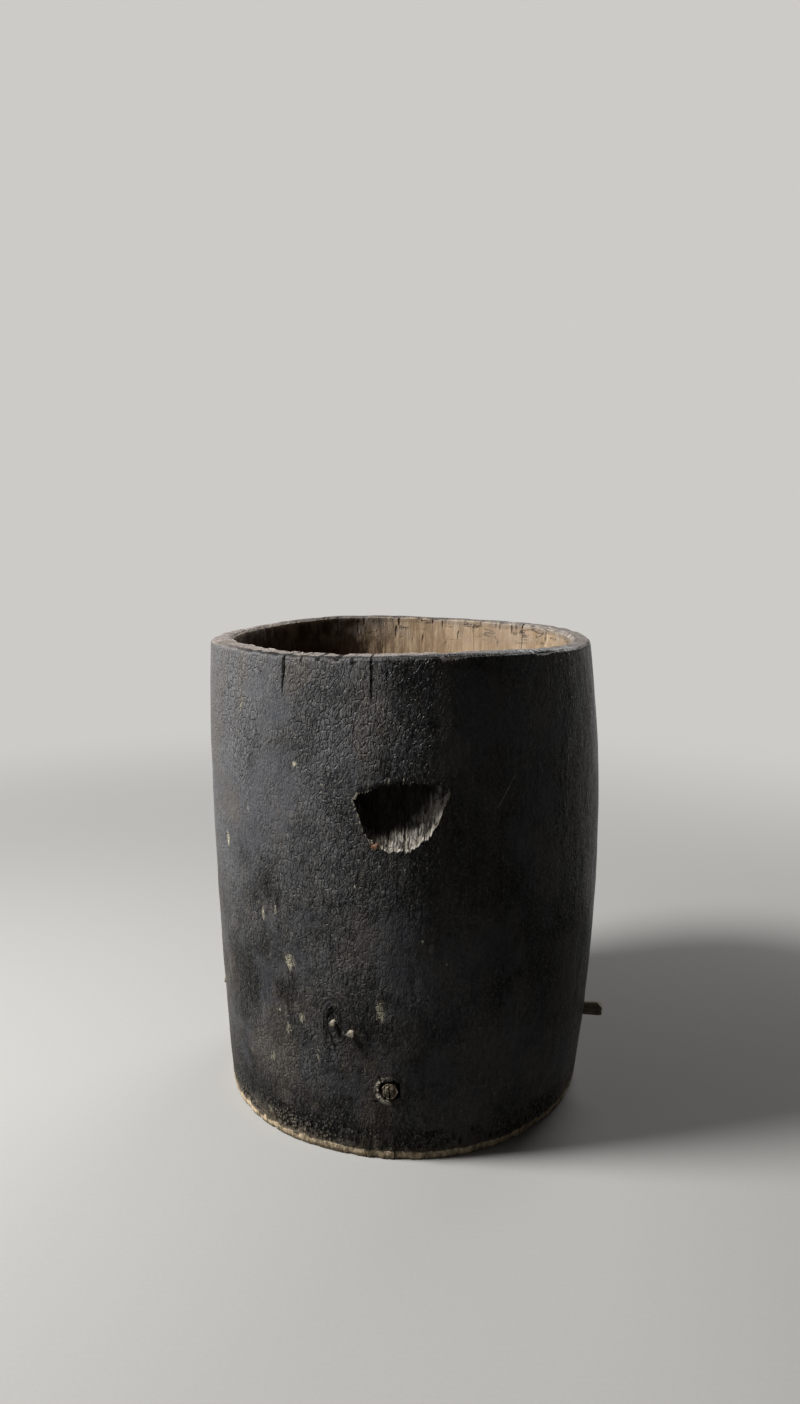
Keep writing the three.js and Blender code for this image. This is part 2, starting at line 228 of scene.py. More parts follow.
def srgb(*levels):
    """A screen colour, from 0 to 255 a channel, as the linear colour that a material takes."""
    shares = [level / 255 for level in levels]
    return tuple(share / 12.92 if share <= 0.04045 else ((share + 0.055) / 1.055) ** 2.4 for share in shares)


def between(share, first, second):
    """The colour that lies at a share of the way between two others."""
    return tuple(start + (end - start) * share for start, end in zip(first, second))


def length(name, description, default):
    """A length that can be changed in the sidebar."""
    return bpy.props.FloatProperty(
        name=name, description=description, default=default, min=0, unit="LENGTH", precision=4
    )


def power(name, description, default):
    """A lamp's power that can be changed in the sidebar."""
    return bpy.props.FloatProperty(name=name, description=description, default=default, unit="POWER")


def colour(name, description, levels):
    """A wood colour that can be changed in the sidebar."""
    return bpy.props.FloatVectorProperty(
        name=name, description=description, default=srgb(*levels), size=3, min=0, max=1, subtype="COLOR"
    )


class LogPotSizes(bpy.types.PropertyGroup):
    """Sizes of the log and of what is cut in it."""

    height: length("Height", "Height of the log before its rim's waves", 0.454)
    belly_radius: length("Belly radius", "Radius of the log at its fattest", 0.1924)
    belly_height: length("Belly height", "Height at which the log is fattest", 0.29)
    foot_taper: length("Foot taper", "How far the log draws in towards its foot", 0.014)
    rim_taper: length("Rim taper", "How far the log draws in towards its rim", 0.0074)
    bow: length("Bow", "How far the log bows to the right between foot and rim", 0.0046)
    foot_shift: length("Foot shift", "How far the foot lies to the right of the bore's axis", 0.0016)
    foot_bevel: length("Foot bevel", "How far the worn edge of the foot cuts in", 0.0014)
    foot_bevel_height: length("Foot bevel height", "How high the worn edge of the foot reaches", 0.0026)
    rim_wall: length("Rim wall", "Thickness of the wall at the rim", 0.02)
    foot_wall: length("Foot wall", "Thickness of the wall at the foot", 0.0224)
    shoulder: length("Shoulder", "Width of the shoulder that the planks are pushed up against", 0.007)
    mouth_height: length("Mouth height", "How far down the bore's mouth strays from round", 0.11)
    mouth_shift: length("Mouth shift", "How far the mouth is cut off the axis towards the back", 0.0026)
    mouth_skew: length("Mouth skew", "How far the mouth is cut out of round", 0.0032)
    hold_width: length("Hold width", "Width of a finger hold", 0.082)
    hold_height: length("Hold height", "Height of a finger hold from lip to ledge", 0.061)
    hold_below_rim: length("Hold below rim", "How far a finger hold's ledge lies under the rim", 0.1025)
    hold_back: length("Wood behind hold", "Wall left behind a finger hold at its ledge", 0.009)
    lip_depth: length("Lip depth", "Depth of a finger hold at its lip", 0.003)
    peg_radius: length("Peg radius", "Radius of a bottom peg at its head", 0.0072)
    flats: length("Hewn flats", "Depth of the broad flats left by hewing", 0.0008)
    dents: length("Dents", "Depth of the broad dents left by hewing and knocks", 0.0006)
    fibres: length("Fibres", "Depth of the worn fibres along the log", 0.0003)
    flutes: length("Gouge flutes", "Depth of the flutes that the gouge left in the bore", 0.0006)


class LogPotColours(bpy.types.PropertyGroup):
    """Colours of the woods."""

    soot: colour("Soot", "Darkest black of the smoked outside", (12, 12, 12))
    charcoal: colour("Charcoal", "Rubbed black of the smoked outside", (88, 88, 90))
    slate: colour("Slate", "Cool bloom on the smoked outside", (70, 71, 75))
    umber: colour("Umber", "Brown where the smoke is rubbed thin", (88, 80, 70))
    scuff: colour("Scuff", "Pale marks knocked in the outside", (152, 146, 128))
    foot: colour("Foot", "Bare worn wood along the foot's edge", (230, 206, 170))
    rim: colour("Rim", "Weathered grey-brown top of the rim", (128, 121, 116))
    rim_edge: colour("Rim edge", "Rubbed edges of the rim", (196, 186, 170))
    bore: colour("Bore", "Bare tan wood inside", (160, 141, 117))
    bore_shade: colour("Bore shade", "Darker grain inside", (124, 104, 82))
    stain: colour("Stain", "Dark stains and cracks inside", (40, 30, 23))
    hold: colour("Hold", "Bare grey-tan wood in the finger holds", (176, 169, 158))
    rust: colour("Rust brown", "Fresh chip at the corner of a finger hold", (150, 106, 78))
    hold_grain: colour("Hold grain", "Dark grooves in the finger holds", (36, 31, 27))
    board: colour("Board", "Rubbed wood of the plank bottom", (160, 130, 98))
    board_grain: colour("Board grain", "Dark grain of the plank bottom", (108, 82, 60))
    peg: colour("Peg", "Dry grey wood of the pegs", (146, 134, 114))
    peg_grain: colour("Peg grain", "Dark grain and grime of the pegs", (44, 37, 30))
    pin: colour("Pin", "Bleached wood of the pins", (126, 122, 114))
    dowel: colour("Dowel", "Raw split bamboo", (196, 168, 116))
    floor: colour("Floor", "Plain floor under the pot", (205, 203, 199))


class LogPotStage(bpy.types.PropertyGroup):
    """Camera, lamps and floor."""

    camera_distance: length("Camera distance", "How far in front of the bore's axis it stands", 1.0283)
    camera_height: length("Camera height", "Height of the camera over the floor", 0.5663)
    tilt: bpy.props.FloatProperty(
        name="Tilt", description="How far the camera looks down", default=math.radians(9.99), unit="ROTATION"
    )
    lens: bpy.props.FloatProperty(
        name="Lens", description="Focal length in millimetres", default=26.79, min=1
    )
    key_power: power("Key", "Power of the soft lamp at the left", 71)
    side_power: power("Side", "Power of the broad lamp low at the left", 3.6)
    fill_power: power("Fill", "Power of the weak lamp at the right", 0.05)
    back_power: power("Back", "Power of the soft lamp behind the pot", 30)
    surround: bpy.props.FloatProperty(
        name="Surround", description="Strength of the even light from all round",
        default=0.018, min=0, subtype="FACTOR",
    )


def sizes():
    """The sizes set for the pot."""
    return bpy.context.scene.log_pot_sizes


def colours():
    """The colours set for the pot."""
    return bpy.context.scene.log_pot_colours


def eased(share):
    """A share from 0 to 1 that starts and ends softly."""
    return share * share * (3 - 2 * share)


def smooth(low, high, value):
    """A soft step from 0 at low to 1 at high."""
    return eased(np.clip((value - low) / (high - low), 0, 1))


def ripple(seed, around, up, turn, share):
    """Smooth noise from -1 to 1 that closes on itself round the pot, with so many cells around and up."""
    lattice = np.random.default_rng(seed).uniform(-1, 1, (around, up + 2))
    across = (turn / (2 * math.pi)) % 1 * around
    along = np.clip(share, 0, 1) * up
    column, row = np.floor(across).astype(int), np.floor(along).astype(int)
    across, along = eased(across - column), eased(along - row)
    column, beside = column % around, (column + 1) % around
    low = lattice[column, row] * (1 - across) + lattice[beside, row] * across
    high = lattice[column, row + 1] * (1 - across) + lattice[beside, row + 1] * across
    return low * (1 - along) + high * along


# The form of the log, from its height and from the turn round its axis in radians.


def barrel_radius(height):
    """Radius of the log's barrel curve."""
    s = sizes()
    below = height < s.belly_height
    drawn_in = np.where(below, s.foot_taper, s.rim_taper)
    share = (height - s.belly_height) / (np.where(below, 0.0, s.height) - s.belly_height)
    return s.belly_radius - drawn_in * share**2


def lobe_swell(turn, height):
    """How far the lobes swell the log."""
    twisted = [np.radians(crest + twist * height / sizes().height) for _, _, crest, twist in LOBES]
    return sum(swell * np.cos(waves * (turn - at)) for (waves, swell, _, _), at in zip(LOBES, twisted))


def bow_at(height):
    """How far the log's middle lies to the right of the bore's axis."""
    share = np.clip(height / sizes().height, 0, 1)
    return sizes().foot_shift * (1 - share) + 4 * sizes().bow * share * (1 - share)


def wall_reach(turn, height):
    """How far the outside of the wall lies from the bore's axis."""
    return barrel_radius(height) + lobe_swell(turn, height) + bow_at(height) * np.sin(turn)


def wall_at(angle, height):
    """How far the outside of the wall lies from the bore's axis at one spot."""
    return float(wall_reach(math.radians(angle), height))


def rim_lift(turn, height):
    """How far the rim's waves lift the log."""
    rise = sum(size * np.cos(waves * (turn - math.radians(crest))) for waves, size, crest in RIM_WAVES)
    return rise * (height / sizes().height) ** 2


def bore_radius(height):
    """Radius of the bore's straight taper."""
    s = sizes()
    foot = s.belly_radius - s.foot_taper - s.foot_wall
    rim = s.belly_radius - s.rim_taper - s.rim_wall
    return foot + (rim - foot) * np.clip((height - FLOOR_HEIGHT) / (s.height - FLOOR_HEIGHT), 0, 1)


def mouth_stray(turn, height):
    """How far the bore's mouth strays from its taper."""
    s = sizes()
    share = smooth(s.height - s.mouth_height, s.height, height)
    return share * (s.mouth_skew * np.sin(2 * turn) - s.mouth_shift * np.cos(turn))


def seat_radius():
    """Radius of the seat that the planks stand in, under the shoulder."""
    s = sizes()
    return s.belly_radius - s.foot_taper - s.foot_wall + s.shoulder


def bored_radius(height, stray=0):
    """Radius of the bore above the planks, and of their seat below."""
    return np.where(height > FLOOR_HEIGHT + SEAT_EASE + 0.0001, bore_radius(height) + stray, seat_radius())


def hold_heights():
    """The heights of a finger hold's lip and ledge."""
    ledge = sizes().height - sizes().hold_below_rim
    return ledge - sizes().hold_height, ledge


# Work on meshes.


def take(piece):
    """Selects one piece alone and makes it active."""
    bpy.ops.object.select_all(action="DESELECT")
    piece.select_set(True)
    bpy.context.view_layer.objects.active = piece


def newest(name):
    """Names the piece that was just added."""
    piece = bpy.context.active_object
    piece.name = piece.data.name = name
    return piece


def points_of(piece):
    """A piece's points, one row each."""
    flat = np.empty(3 * len(piece.data.vertices))
    piece.data.vertices.foreach_get("co", flat)
    return flat.reshape(-1, 3)


def set_points(piece, x, y, z):
    """Moves a piece's points to new coordinates."""
    piece.data.vertices.foreach_set("co", np.column_stack([x, y, z]).astype(np.float32).ravel())
    piece.data.update()


def close_up(piece, near=1e-6):
    """Merges a piece's doubles and turns its faces outwards."""
    take(piece)
    bpy.ops.object.mode_set(mode="EDIT")
    bpy.ops.mesh.select_all(action="SELECT")
    bpy.ops.mesh.remove_doubles(threshold=near)
    bpy.ops.mesh.normals_make_consistent(inside=False)
    bpy.ops.object.mode_set(mode="OBJECT")
    return piece


def finish_modifier(piece, kind, **settings):
    """Adds a modifier with these settings and applies it."""
    take(piece)
    bpy.ops.object.modifier_add(type=kind)
    modifier = piece.modifiers[-1]
    for key, value in settings.items():
        setattr(modifier, key, value)
    bpy.ops.object.modifier_apply(modifier=modifier.name)


def mark_cut(piece, kind):
    """Numbers a cutter's faces, so that the faces it leaves behind can be told from the rest."""
    for each in (SKIN, HOLD_WOOD, DARK_CUT):
        name = f"surface {each}"
        piece.data.materials.append(bpy.data.materials.get(name) or bpy.data.materials.new(name))
    piece.data.polygons.foreach_set("material_index", np.full(len(piece.data.polygons), kind, dtype=np.int32))
    return piece


def within_cut(piece, kind):
    """1 for each point that lies within the faces of one kind of cut, and 0 for the rest."""
    mesh = piece.data
    kinds = np.empty(len(mesh.polygons), dtype=np.int32)
    totals = kinds.copy()
    mesh.polygons.foreach_get("material_index", kinds)
    mesh.polygons.foreach_get("loop_total", totals)
    corners = np.empty(len(mesh.loops), dtype=np.int32)
    mesh.loops.foreach_get("vertex_index", corners)
    outside = np.zeros(len(mesh.vertices))
    np.maximum.at(outside, corners, np.repeat(kinds != kind, totals))
    return 1 - outside


def carve(piece, cutters):
    """Cuts a group of cutters that keep clear of each other out of a piece."""
    cutter = cutters[0]
    take(cutter)
    for other in cutters[1:]:
        other.select_set(True)
    if len(cutters) > 1:
        bpy.ops.object.join()
    finish_modifier(piece, "BOOLEAN", operation="DIFFERENCE", solver="MANIFOLD", object=cutter)
    bpy.data.objects.remove(cutter)


def turned_bar(name, rings, sides):
    """A round bar along +Z from (height, radius) rings, closed at both ends."""
    bpy.ops.object.select_all(action="DESELECT")
    (height, radius), *rest = rings
    bpy.ops.mesh.primitive_circle_add(
        vertices=sides, radius=radius, fill_type="NGON", location=(0, 0, height)
    )
    bar = newest(name)
    bpy.ops.object.transform_apply(location=True)
    bpy.ops.object.mode_set(mode="EDIT")
    bpy.ops.mesh.select_all(action="SELECT")
    for next_height, next_radius in rest:
        bpy.ops.mesh.extrude_region_move(TRANSFORM_OT_translate={"value": (0, 0, next_height - height)})
        wider = next_radius / radius
        bpy.ops.transform.resize(value=(wider, wider, 1), center_override=(0, 0, next_height))
        height, radius = next_height, next_radius
    bpy.ops.object.mode_set(mode="OBJECT")
    return close_up(bar)


def slab(name, columns, rows):
    """A block with a fine grid on two faces, from -1 to 1 across and up, and from 0 to 1 out."""
    bpy.ops.object.select_all(action="DESELECT")
    bpy.ops.mesh.primitive_grid_add(x_subdivisions=columns, y_subdivisions=rows, size=2)
    block = newest(name)
    bpy.ops.object.mode_set(mode="EDIT")
    bpy.ops.mesh.select_all(action="SELECT")
    bpy.ops.mesh.extrude_region_move(TRANSFORM_OT_translate={"value": (0, 0, 1)})
    bpy.ops.object.mode_set(mode="OBJECT")
    return close_up(block)


def to_wall(piece, angle, height, across, up, out):
    """Sets a piece's points out on the wall, round a place at an angle and height."""
    turn = math.radians(angle)
    x = AXIS_X + across * math.cos(turn) + out * math.sin(turn)
    y = AXIS_Y + across * math.sin(turn) - out * math.cos(turn)
    set_points(piece, x, y, height + up)
    return close_up(piece)


def paint(piece, name, values):
    """Keeps a value for each point that the materials read."""
    layer = piece.data.attributes.new(name, "FLOAT", "POINT")
    layer.data.foreach_set("value", np.asarray(values, dtype=np.float32))


def lay_grain(piece, along, across, up):
    """Keeps each point's place along, across and up the grain, which the materials read."""
    layer = piece.data.attributes.new("grain", "FLOAT_VECTOR", "POINT")
    layer.data.foreach_set("vector", np.column_stack([along, across, up]).astype(np.float32).ravel())


def lay_driven_grain(piece, angle, aside=0):
    """Lays a peg's or pin's grain along the way that it is driven in, and marks its edges."""
    x, y, z = points_of(piece).T
    x, y, turn = x - AXIS_X, y - AXIS_Y, math.radians(angle)
    along = x * math.sin(turn) - y * math.cos(turn)
    lay_grain(piece, along, x * math.cos(turn) + y * math.sin(turn) + aside, z)
    paint(piece, "edge", sharpness(piece, 1))


def sharpness(piece, passes=2):
    """How far points stand out over their neighbours: about 0.3 on a square edge, below 0 in a hollow."""
    mesh = piece.data
    flat = np.empty(2 * len(mesh.edges), dtype=np.int32)
    mesh.edges.foreach_get("vertices", flat)
    edges = flat.reshape(-1, 2)
    here, there = np.concatenate([edges, edges[:, ::-1]]).T
    spots = points_of(piece)
    normals = np.empty(3 * len(mesh.vertices))
    mesh.vertices.foreach_get("normal", normals)
    count = np.bincount(here, minlength=len(spots)).clip(1)

    def mean(values):
        """The mean at each point of a value for each edge that meets there."""
        return np.bincount(here, weights=values, minlength=len(spots)) / count

    middle = np.column_stack([mean(column[there]) for column in spots.T])
    gap = mean(np.linalg.norm(spots[here] - spots[there], axis=1)).clip(1e-6)
    stand = ((spots - middle) * normals.reshape(-1, 3)).sum(axis=1) / gap
    for _ in range(passes):
        stand = (stand + mean(stand[there])) / 2
    return stand


def finish_piece(piece, material, slot, *nodes, angle=35):
    """Shades a finished piece, gives it its wood and sets it in the frame in place of its nodes."""
    take(piece)
    bpy.ops.object.shade_smooth_by_angle(angle=math.radians(angle))
    piece.data.materials.clear()
    piece.data.materials.append(material)
    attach(piece, "root")
    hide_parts(*nodes)


# Materials.


class Strand:
    """A number that runs through a material; a sum on it adds the nodes that work it out."""

    def __init__(self, wood, socket):
        self.wood = wood
        self.socket = socket

    def worked(self, operation, *values):
        """The result of a sum on these numbers, or on this one alone."""
        values = values or (self,)
        return self.wood.node("ShaderNodeMath", {"operation": operation}, dict(enumerate(values)))

    def __add__(self, other):
        return self.worked("ADD", self, other)

    def __sub__(self, other):
        return self.worked("SUBTRACT", self, other)

    def __rsub__(self, other):
        return self.worked("SUBTRACT", other, self)

    def __mul__(self, other):
        return self.worked("MULTIPLY", self, other)

    def __truediv__(self, other):
        return self.worked("DIVIDE", self, other)

    def __rtruediv__(self, other):
        return self.worked("DIVIDE", other, self)

    def __abs__(self):
        return self.worked("ABSOLUTE", self)

    __radd__ = __add__
    __rmul__ = __mul__

    def above(self, other):
        """The larger of two numbers."""
        return self.worked("MAXIMUM", self, other)

    def step(self, low, high):
        """A soft step from 0 at low to 1 at high."""
        settings = {"interpolation_type": "SMOOTHSTEP", "clamp": True}
        if low < high:
            return self.wood.node("ShaderNodeMapRange", settings, {0: self, 1: low, 2: high, 3: 0, 4: 1})
        return self.wood.node("ShaderNodeMapRange", settings, {0: self, 1: high, 2: low, 3: 1, 4: 0})


def largest(strands):
    """The largest of some numbers."""
    first, *rest = strands
    for other in rest:
        first = first.above(other)
    return first


class Wood:
    """The nodes that make one new material, or the surround."""

    def __init__(self, owner):
        self.owner = owner
        owner.use_nodes = True
        self.tree = owner.node_tree
        self.tree.nodes.clear()

    def node(self, kind, settings, sockets, output=0):
        """Adds a node with its settings and its sockets' values or links, and gives one of its outputs."""
        made = self.tree.nodes.new(kind)
        for key, value in settings.items():
            setattr(made, key, value)
        for key, value in sockets.items():
            if isinstance(value, Strand):
                self.tree.links.new(value.socket, made.inputs[key])
            else:
                made.inputs[key].default_value = value
        return Strand(self, made.outputs[output]) if made.outputs else None

    def place(self):
        """Where a point of the piece lies, in metres."""
        return self.node("ShaderNodeTexCoord", {}, {}, "Object")

    def kept(self, name, output="Fac"):
        """A value kept on the piece's points."""
        return self.node("ShaderNodeAttribute", {"attribute_name": name}, {}, output)

    def parts(self, vector):
        """The three numbers of a place."""
        made = self.node("ShaderNodeSeparateXYZ", {}, {0: vector}).socket.node
        return [Strand(self, made.outputs[i]) for i in range(3)]

    def joined(self, x, y, z):
        """A place from three numbers."""
        return self.node("ShaderNodeCombineXYZ", {}, {0: x, 1: y, 2: z})

    def scaled(self, vector, *shares):
        """A place stretched by a share along each axis."""
        return self.node("ShaderNodeVectorMath", {"operation": "MULTIPLY"}, {0: vector, 1: shares})

    def upright(self, vector, share):
        """A place squeezed upwards, so that a pattern on it runs tall."""
        return self.scaled(vector, 1, 1, share)

    def moved(self, vector, shift):
        """A place moved by a vector."""
        return self.node("ShaderNodeVectorMath", {"operation": "ADD"}, {0: vector, 1: shift})

    def span(self, vector):
        """The length of a vector."""
        return self.node("ShaderNodeVectorMath", {"operation": "LENGTH"}, {0: vector}, "Value")

    def cloud(self, vector, scale, detail=4, rough=0.55, warp=0):
        """Soft noise from 0 to 1."""
        sockets = {"Vector": vector, "Scale": scale, "Detail": detail, "Roughness": rough, "Distortion": warp}
        return self.node("ShaderNodeTexNoise", {}, sockets, "Fac")

    def cells(self, vector, scale, feature="DISTANCE_TO_EDGE"):
        """Irregular cells, as the distance from their edges or middles."""
        sockets = {"Vector": vector, "Scale": scale, "Randomness": 1}
        return self.node("ShaderNodeTexVoronoi", {"feature": feature}, sockets, "Distance")

    def blend(self, share, under, over):
        """One colour laid over another by a share."""
        under, over = (tone if isinstance(tone, Strand) else (*tone, 1) for tone in (under, over))
        return self.node("ShaderNodeMix", {"data_type": "RGBA"}, {0: share, 6: under, 7: over}, 2)

    def layered(self, tone, *layers):
        """A colour with others laid over it one by one, each by its share."""
        for share, over in layers:
            tone = self.blend(share, tone, over)
        return tone

    def relief(self, height, distance, strength):
        """A fine relief from a height between 0 and 1."""
        sockets = {"Strength": strength, "Distance": distance, "Height": height}
        return self.node("ShaderNodeBump", {}, sockets)

    def seen(self):
        """1 for the rays that show what lies behind the pot: straight, mirrored or through glass."""
        rays = self.node("ShaderNodeLightPath", {}, {}).socket.node.outputs
        kinds = ("Is Camera Ray", "Is Glossy Ray", "Is Transmission Ray")
        return largest([Strand(self, rays[kind]) for kind in kinds])

    def surface(self, tone, roughness, normal, specular):
        """Ends the material with its surface."""
        sockets = {
            "Base Color": tone, "Roughness": roughness, "Normal": normal, "Specular IOR Level": specular
        }
        return self.ended(self.node("ShaderNodeBsdfPrincipled", {}, sockets))

    def ended(self, shader, kind="ShaderNodeOutputMaterial"):
        """Links a shader to the output, and gives what the nodes belong to."""
        self.node(kind, {}, {"Surface": shader})
        return self.owner


def from_spot(wood, wall, angle, height):
    """The wall's places, counted from one spot at an angle and height."""
    return wood.moved(wall, (-math.radians(angle) * sizes().belly_radius, -height, 0))


def nearest(wood, wall, spots):
    """How near the wall lies to any of these spots, from 0 at their edges up to each one's strength."""
    found = []
    for angle, up, half_width, half_height, *rest in spots:
        strength, lean = (*rest, 0)[:2] if rest else (1, 0)
        offset = from_spot(wood, wall, angle, up)
        if lean:
            across, along, _ = wood.parts(offset)
            offset = wood.joined(across - along * lean, along, 0)
        found.append((1 - wood.span(wood.scaled(offset, 1 / half_width, 1 / half_height, 0))) * strength)
    return largest(found)


def torn_round_pegs(wood, place, wall, skin):
    """The pale fibres torn up at the left of the front and back pegs."""
    torn = []
    for peg in ("front_peg", "back_peg"):
        off_peg = from_spot(wood, wall, PEGS[peg][0], PEG_HEIGHT)
        ring = 1 - abs(wood.span(off_peg) - 0.012 + (skin - 0.5) * 0.005) / 0.0028
        left_of_peg = wood.parts(off_peg)[0].step(0.004, -0.006)
        broken = wood.cloud(place, 330, 3).step(0.38, 0.5)
        torn.append(ring.step(0.0, 0.5) * (left_of_peg * 0.97 + 0.03) * broken)
    return largest(torn)


def knot_swirl(wood, place, wall):
    """The grain that swirls round the sunken knot, and the dark line round its dish."""
    away = wood.span(wood.scaled(from_spot(wood, wall, KNOT_ANGLE, KNOT_HEIGHT), 1, 0.6, 0))
    swirl = (away * 1700 + wood.cloud(place, 150, 5, 0.7) * 15).worked("SINE")
    swirl = swirl * away.step(0.024, 0.009) * wood.cloud(place, 230, 4).step(0.32, 0.55)
    crumbly = wood.cloud(place, 240, 4, 0.65)
    line = (1 - abs(away - 0.0078 + (crumbly - 0.5) * 0.008) / 0.0016).step(0.0, 0.6)
    return swirl, line * crumbly.step(0.36, 0.5)


def smoked_outside(wood, place, wall, height):
    """The blackened outside: its colour, roughness and relief."""
    c = colours()
    loose = wood.upright(place, 0.45)
    wobble = wood.joined(wood.cloud(place, 90, 3), wood.cloud(place, 70, 3), 0)
    warped = wood.moved(loose, wood.scaled(wobble, 0.008, 0.008, 0.008))
    skin = wood.cloud(loose, 300, 2, 0.5, 0.6)
    pebbles = wood.cells(warped, 250, "F1")
    creases = wood.cells(warped, 290).step(0.0, 0.14)
    dashes = wood.cloud(wood.upright(place, 0.22), 210, 3, 0.6)
    fog = wood.cloud(place, 8.5, 5, 0.6)
    bloom = wood.cloud(wood.moved(place, (3.1, 1.7, 0.4)), 13, 4, 0.6)
    patches = wood.cloud(wood.upright(place, 0.7), 24, 5, 0.62)
    drips = wood.cloud(wood.upright(place, 0.06), 30, 4, 0.6)
    grit = wood.cloud(wood.upright(place, 0.7), 520, 1, 0.6)

    # Painted light: the upper left is painted paler, where the lamp at the upper left falls.
    lower = height.step(0.2, 0.03)
    lit_upper_left = height.step(0.13, 0.38) * (wood.parts(place)[0] - AXIS_X).step(0.03, -0.09)
    rubbed_and_lit_black = (skin * 0.14 + dashes * 0.3 + fog * 1.1 + lit_upper_left * 0.22).step(0.59, 1.07)
    umber = (patches * 0.7 + fog * 0.35 + lower * 0.05).step(0.5, 0.66)
    worn = dashes.step(0.6, 0.72) * patches.step(0.46, 0.62)

    marks = nearest(wood, wall, MARKS)
    across, up, _ = wood.parts(wall)
    scratches = wood.cloud(wood.joined(across + up * 0.3, up * 0.16, 0), 480, 4, 0.62)
    ragged = (marks + (scratches - 0.5) * 3.2).step(-0.1, 0.55) * marks.step(-0.5, 0.1)
    torn = torn_round_pegs(wood, place, wall, skin)
    swirl, knot_line = knot_swirl(wood, place, wall)

    tone = wood.layered(
        c.soot,
        # The charcoal share holds painted light on the upper left as well as rubbed smoke.
        (rubbed_and_lit_black, c.charcoal),
        (drips.step(0.5, 0.7) * 0.3, c.umber),
        (abs(skin - 0.5).step(0.05, 0.0) * 0.07, c.scuff),
        (grit.step(0.6, 0.68) * 0.2, c.scuff),
        (grit.step(0.4, 0.32) * 0.4, c.soot),
        ((1 - creases) * dashes.step(0.42, 0.56) * 0.25, c.soot),
        (bloom.step(0.48, 0.6) * (0.3 + skin * 0.4), c.slate),
        (umber * (0.2 + skin * 0.4), c.umber),
        (pebbles.step(0.62, 0.2) * skin.step(0.5, 0.35) * 0.3, c.soot),
        (worn * (0.1 + lower * 0.25), c.scuff),
        (ragged * 0.85, c.scuff),
        ((marks + skin * 0.3).step(1.2, 1.5), c.rim_edge),
        (torn * 0.95, c.rim_edge),
        (swirl.step(0.0, -0.8) * 0.65, c.soot),
        (knot_line * 0.75, c.soot),
    )
    roughness = 0.36 - skin * 0.16 + umber * 0.12 + lower * 0.04 + ragged * 0.3
    rubbed = 1 - bloom.step(0.4, 0.6) * 0.7
    relief = (skin * 0.5 + creases * 0.35 + dashes * 0.5 - pebbles * 0.25) * rubbed
    return tone, roughness, relief + swirl * 0.6 - knot_line * 0.9 + torn * 1.2


def bare_inside(wood, place):
    """The bare wood of the bore: its colour, roughness and relief."""
    c = colours()
    x, y, height = wood.parts(place)
    long_grain = wood.upright(place, 0.045)
    grain = wood.cloud(wood.upright(place, 0.09), 190, 7, 0.66, 0.4)
    broad = wood.cloud(wood.upright(place, 0.3), 17, 5, 0.6)
    mottle = wood.cloud(wood.upright(place, 0.5), 90, 6, 0.66)
    drips = wood.cloud(long_grain, 38, 6, 0.66).step(0.62, 0.74) * mottle.step(0.35, 0.6)
    splits = abs(wood.cloud(long_grain, 50, 4, 0.55, 0.2) - 0.5).step(0.007, 0.001)
    splits = splits * broad.step(0.45, 0.6)

    # A dark stain on the left side, laid together with painted shadow that the left wall casts inside.
    stain_and_shadow = (x - AXIS_X + (mottle - 0.5) * 0.09 + (grain - 0.5) * 0.07).step(-0.004, -0.052)
    stain_and_shadow = stain_and_shadow * (y - AXIS_Y).step(-0.12, -0.07)

    # Small chips and short cracks lie under the rim.
    top = height.step(0.415, 0.447)
    chips = wood.cells(wood.upright(place, 0.25), 150, "F1").step(0.34, 0.16) * top
    chips = chips * wood.cloud(place, 30, 3).step(0.4, 0.55)
    bites = abs(wood.cloud(wood.scaled(place, 0.3, 0.3, 1), 75, 5, 0.62) - 0.5).step(0.022, 0.004)
    bites = bites * height.step(0.425, 0.45) * wood.cloud(place, 55, 2).step(0.45, 0.6)
    chips = chips.above(bites)

    tone = wood.layered(
        c.bore_shade,
        ((grain * 0.4 + broad * 0.5 + mottle * 0.35).step(0.5, 0.78), c.bore),
        (drips * 0.5, c.stain),
        # Real stain and painted shadow of the left wall, in the stain colour.
        (stain_and_shadow * (0.84 + mottle * 0.3), c.stain),
        ((splits * 0.75).above(chips * 0.8), c.stain),
        (top * 0.3 * wood.cloud(place, 45, 4).step(0.4, 0.6), c.rim),
    )
    relief = grain * 0.55 + mottle * 0.5 + broad * 0.2 - splits * 0.8 - chips * 0.9
    return tone, 0.86 - grain * 0.1, relief


def worn_rim(wood, place, edge, ridges):
    """The weathered end grain of the rim: its colour and relief."""
    c = colours()
    fine = wood.cloud(place, 420, 6, 0.7)
    broad = wood.cloud(place, 55, 4, 0.6)
    tone = wood.layered(
        c.rim,
        (broad.step(0.42, 0.62), between(0.35, c.rim, c.stain)),
        # Rubbed edges painted pale: wear, and painted highlight where the rim's edges catch the light.
        (edge.step(0.04, 0.18) * (0.5 + broad * 0.6), c.rim_edge),
        (fine.step(0.55, 0.42) * 0.4, c.stain),
    )
    return tone, fine * 0.9 + ridges * 0.4


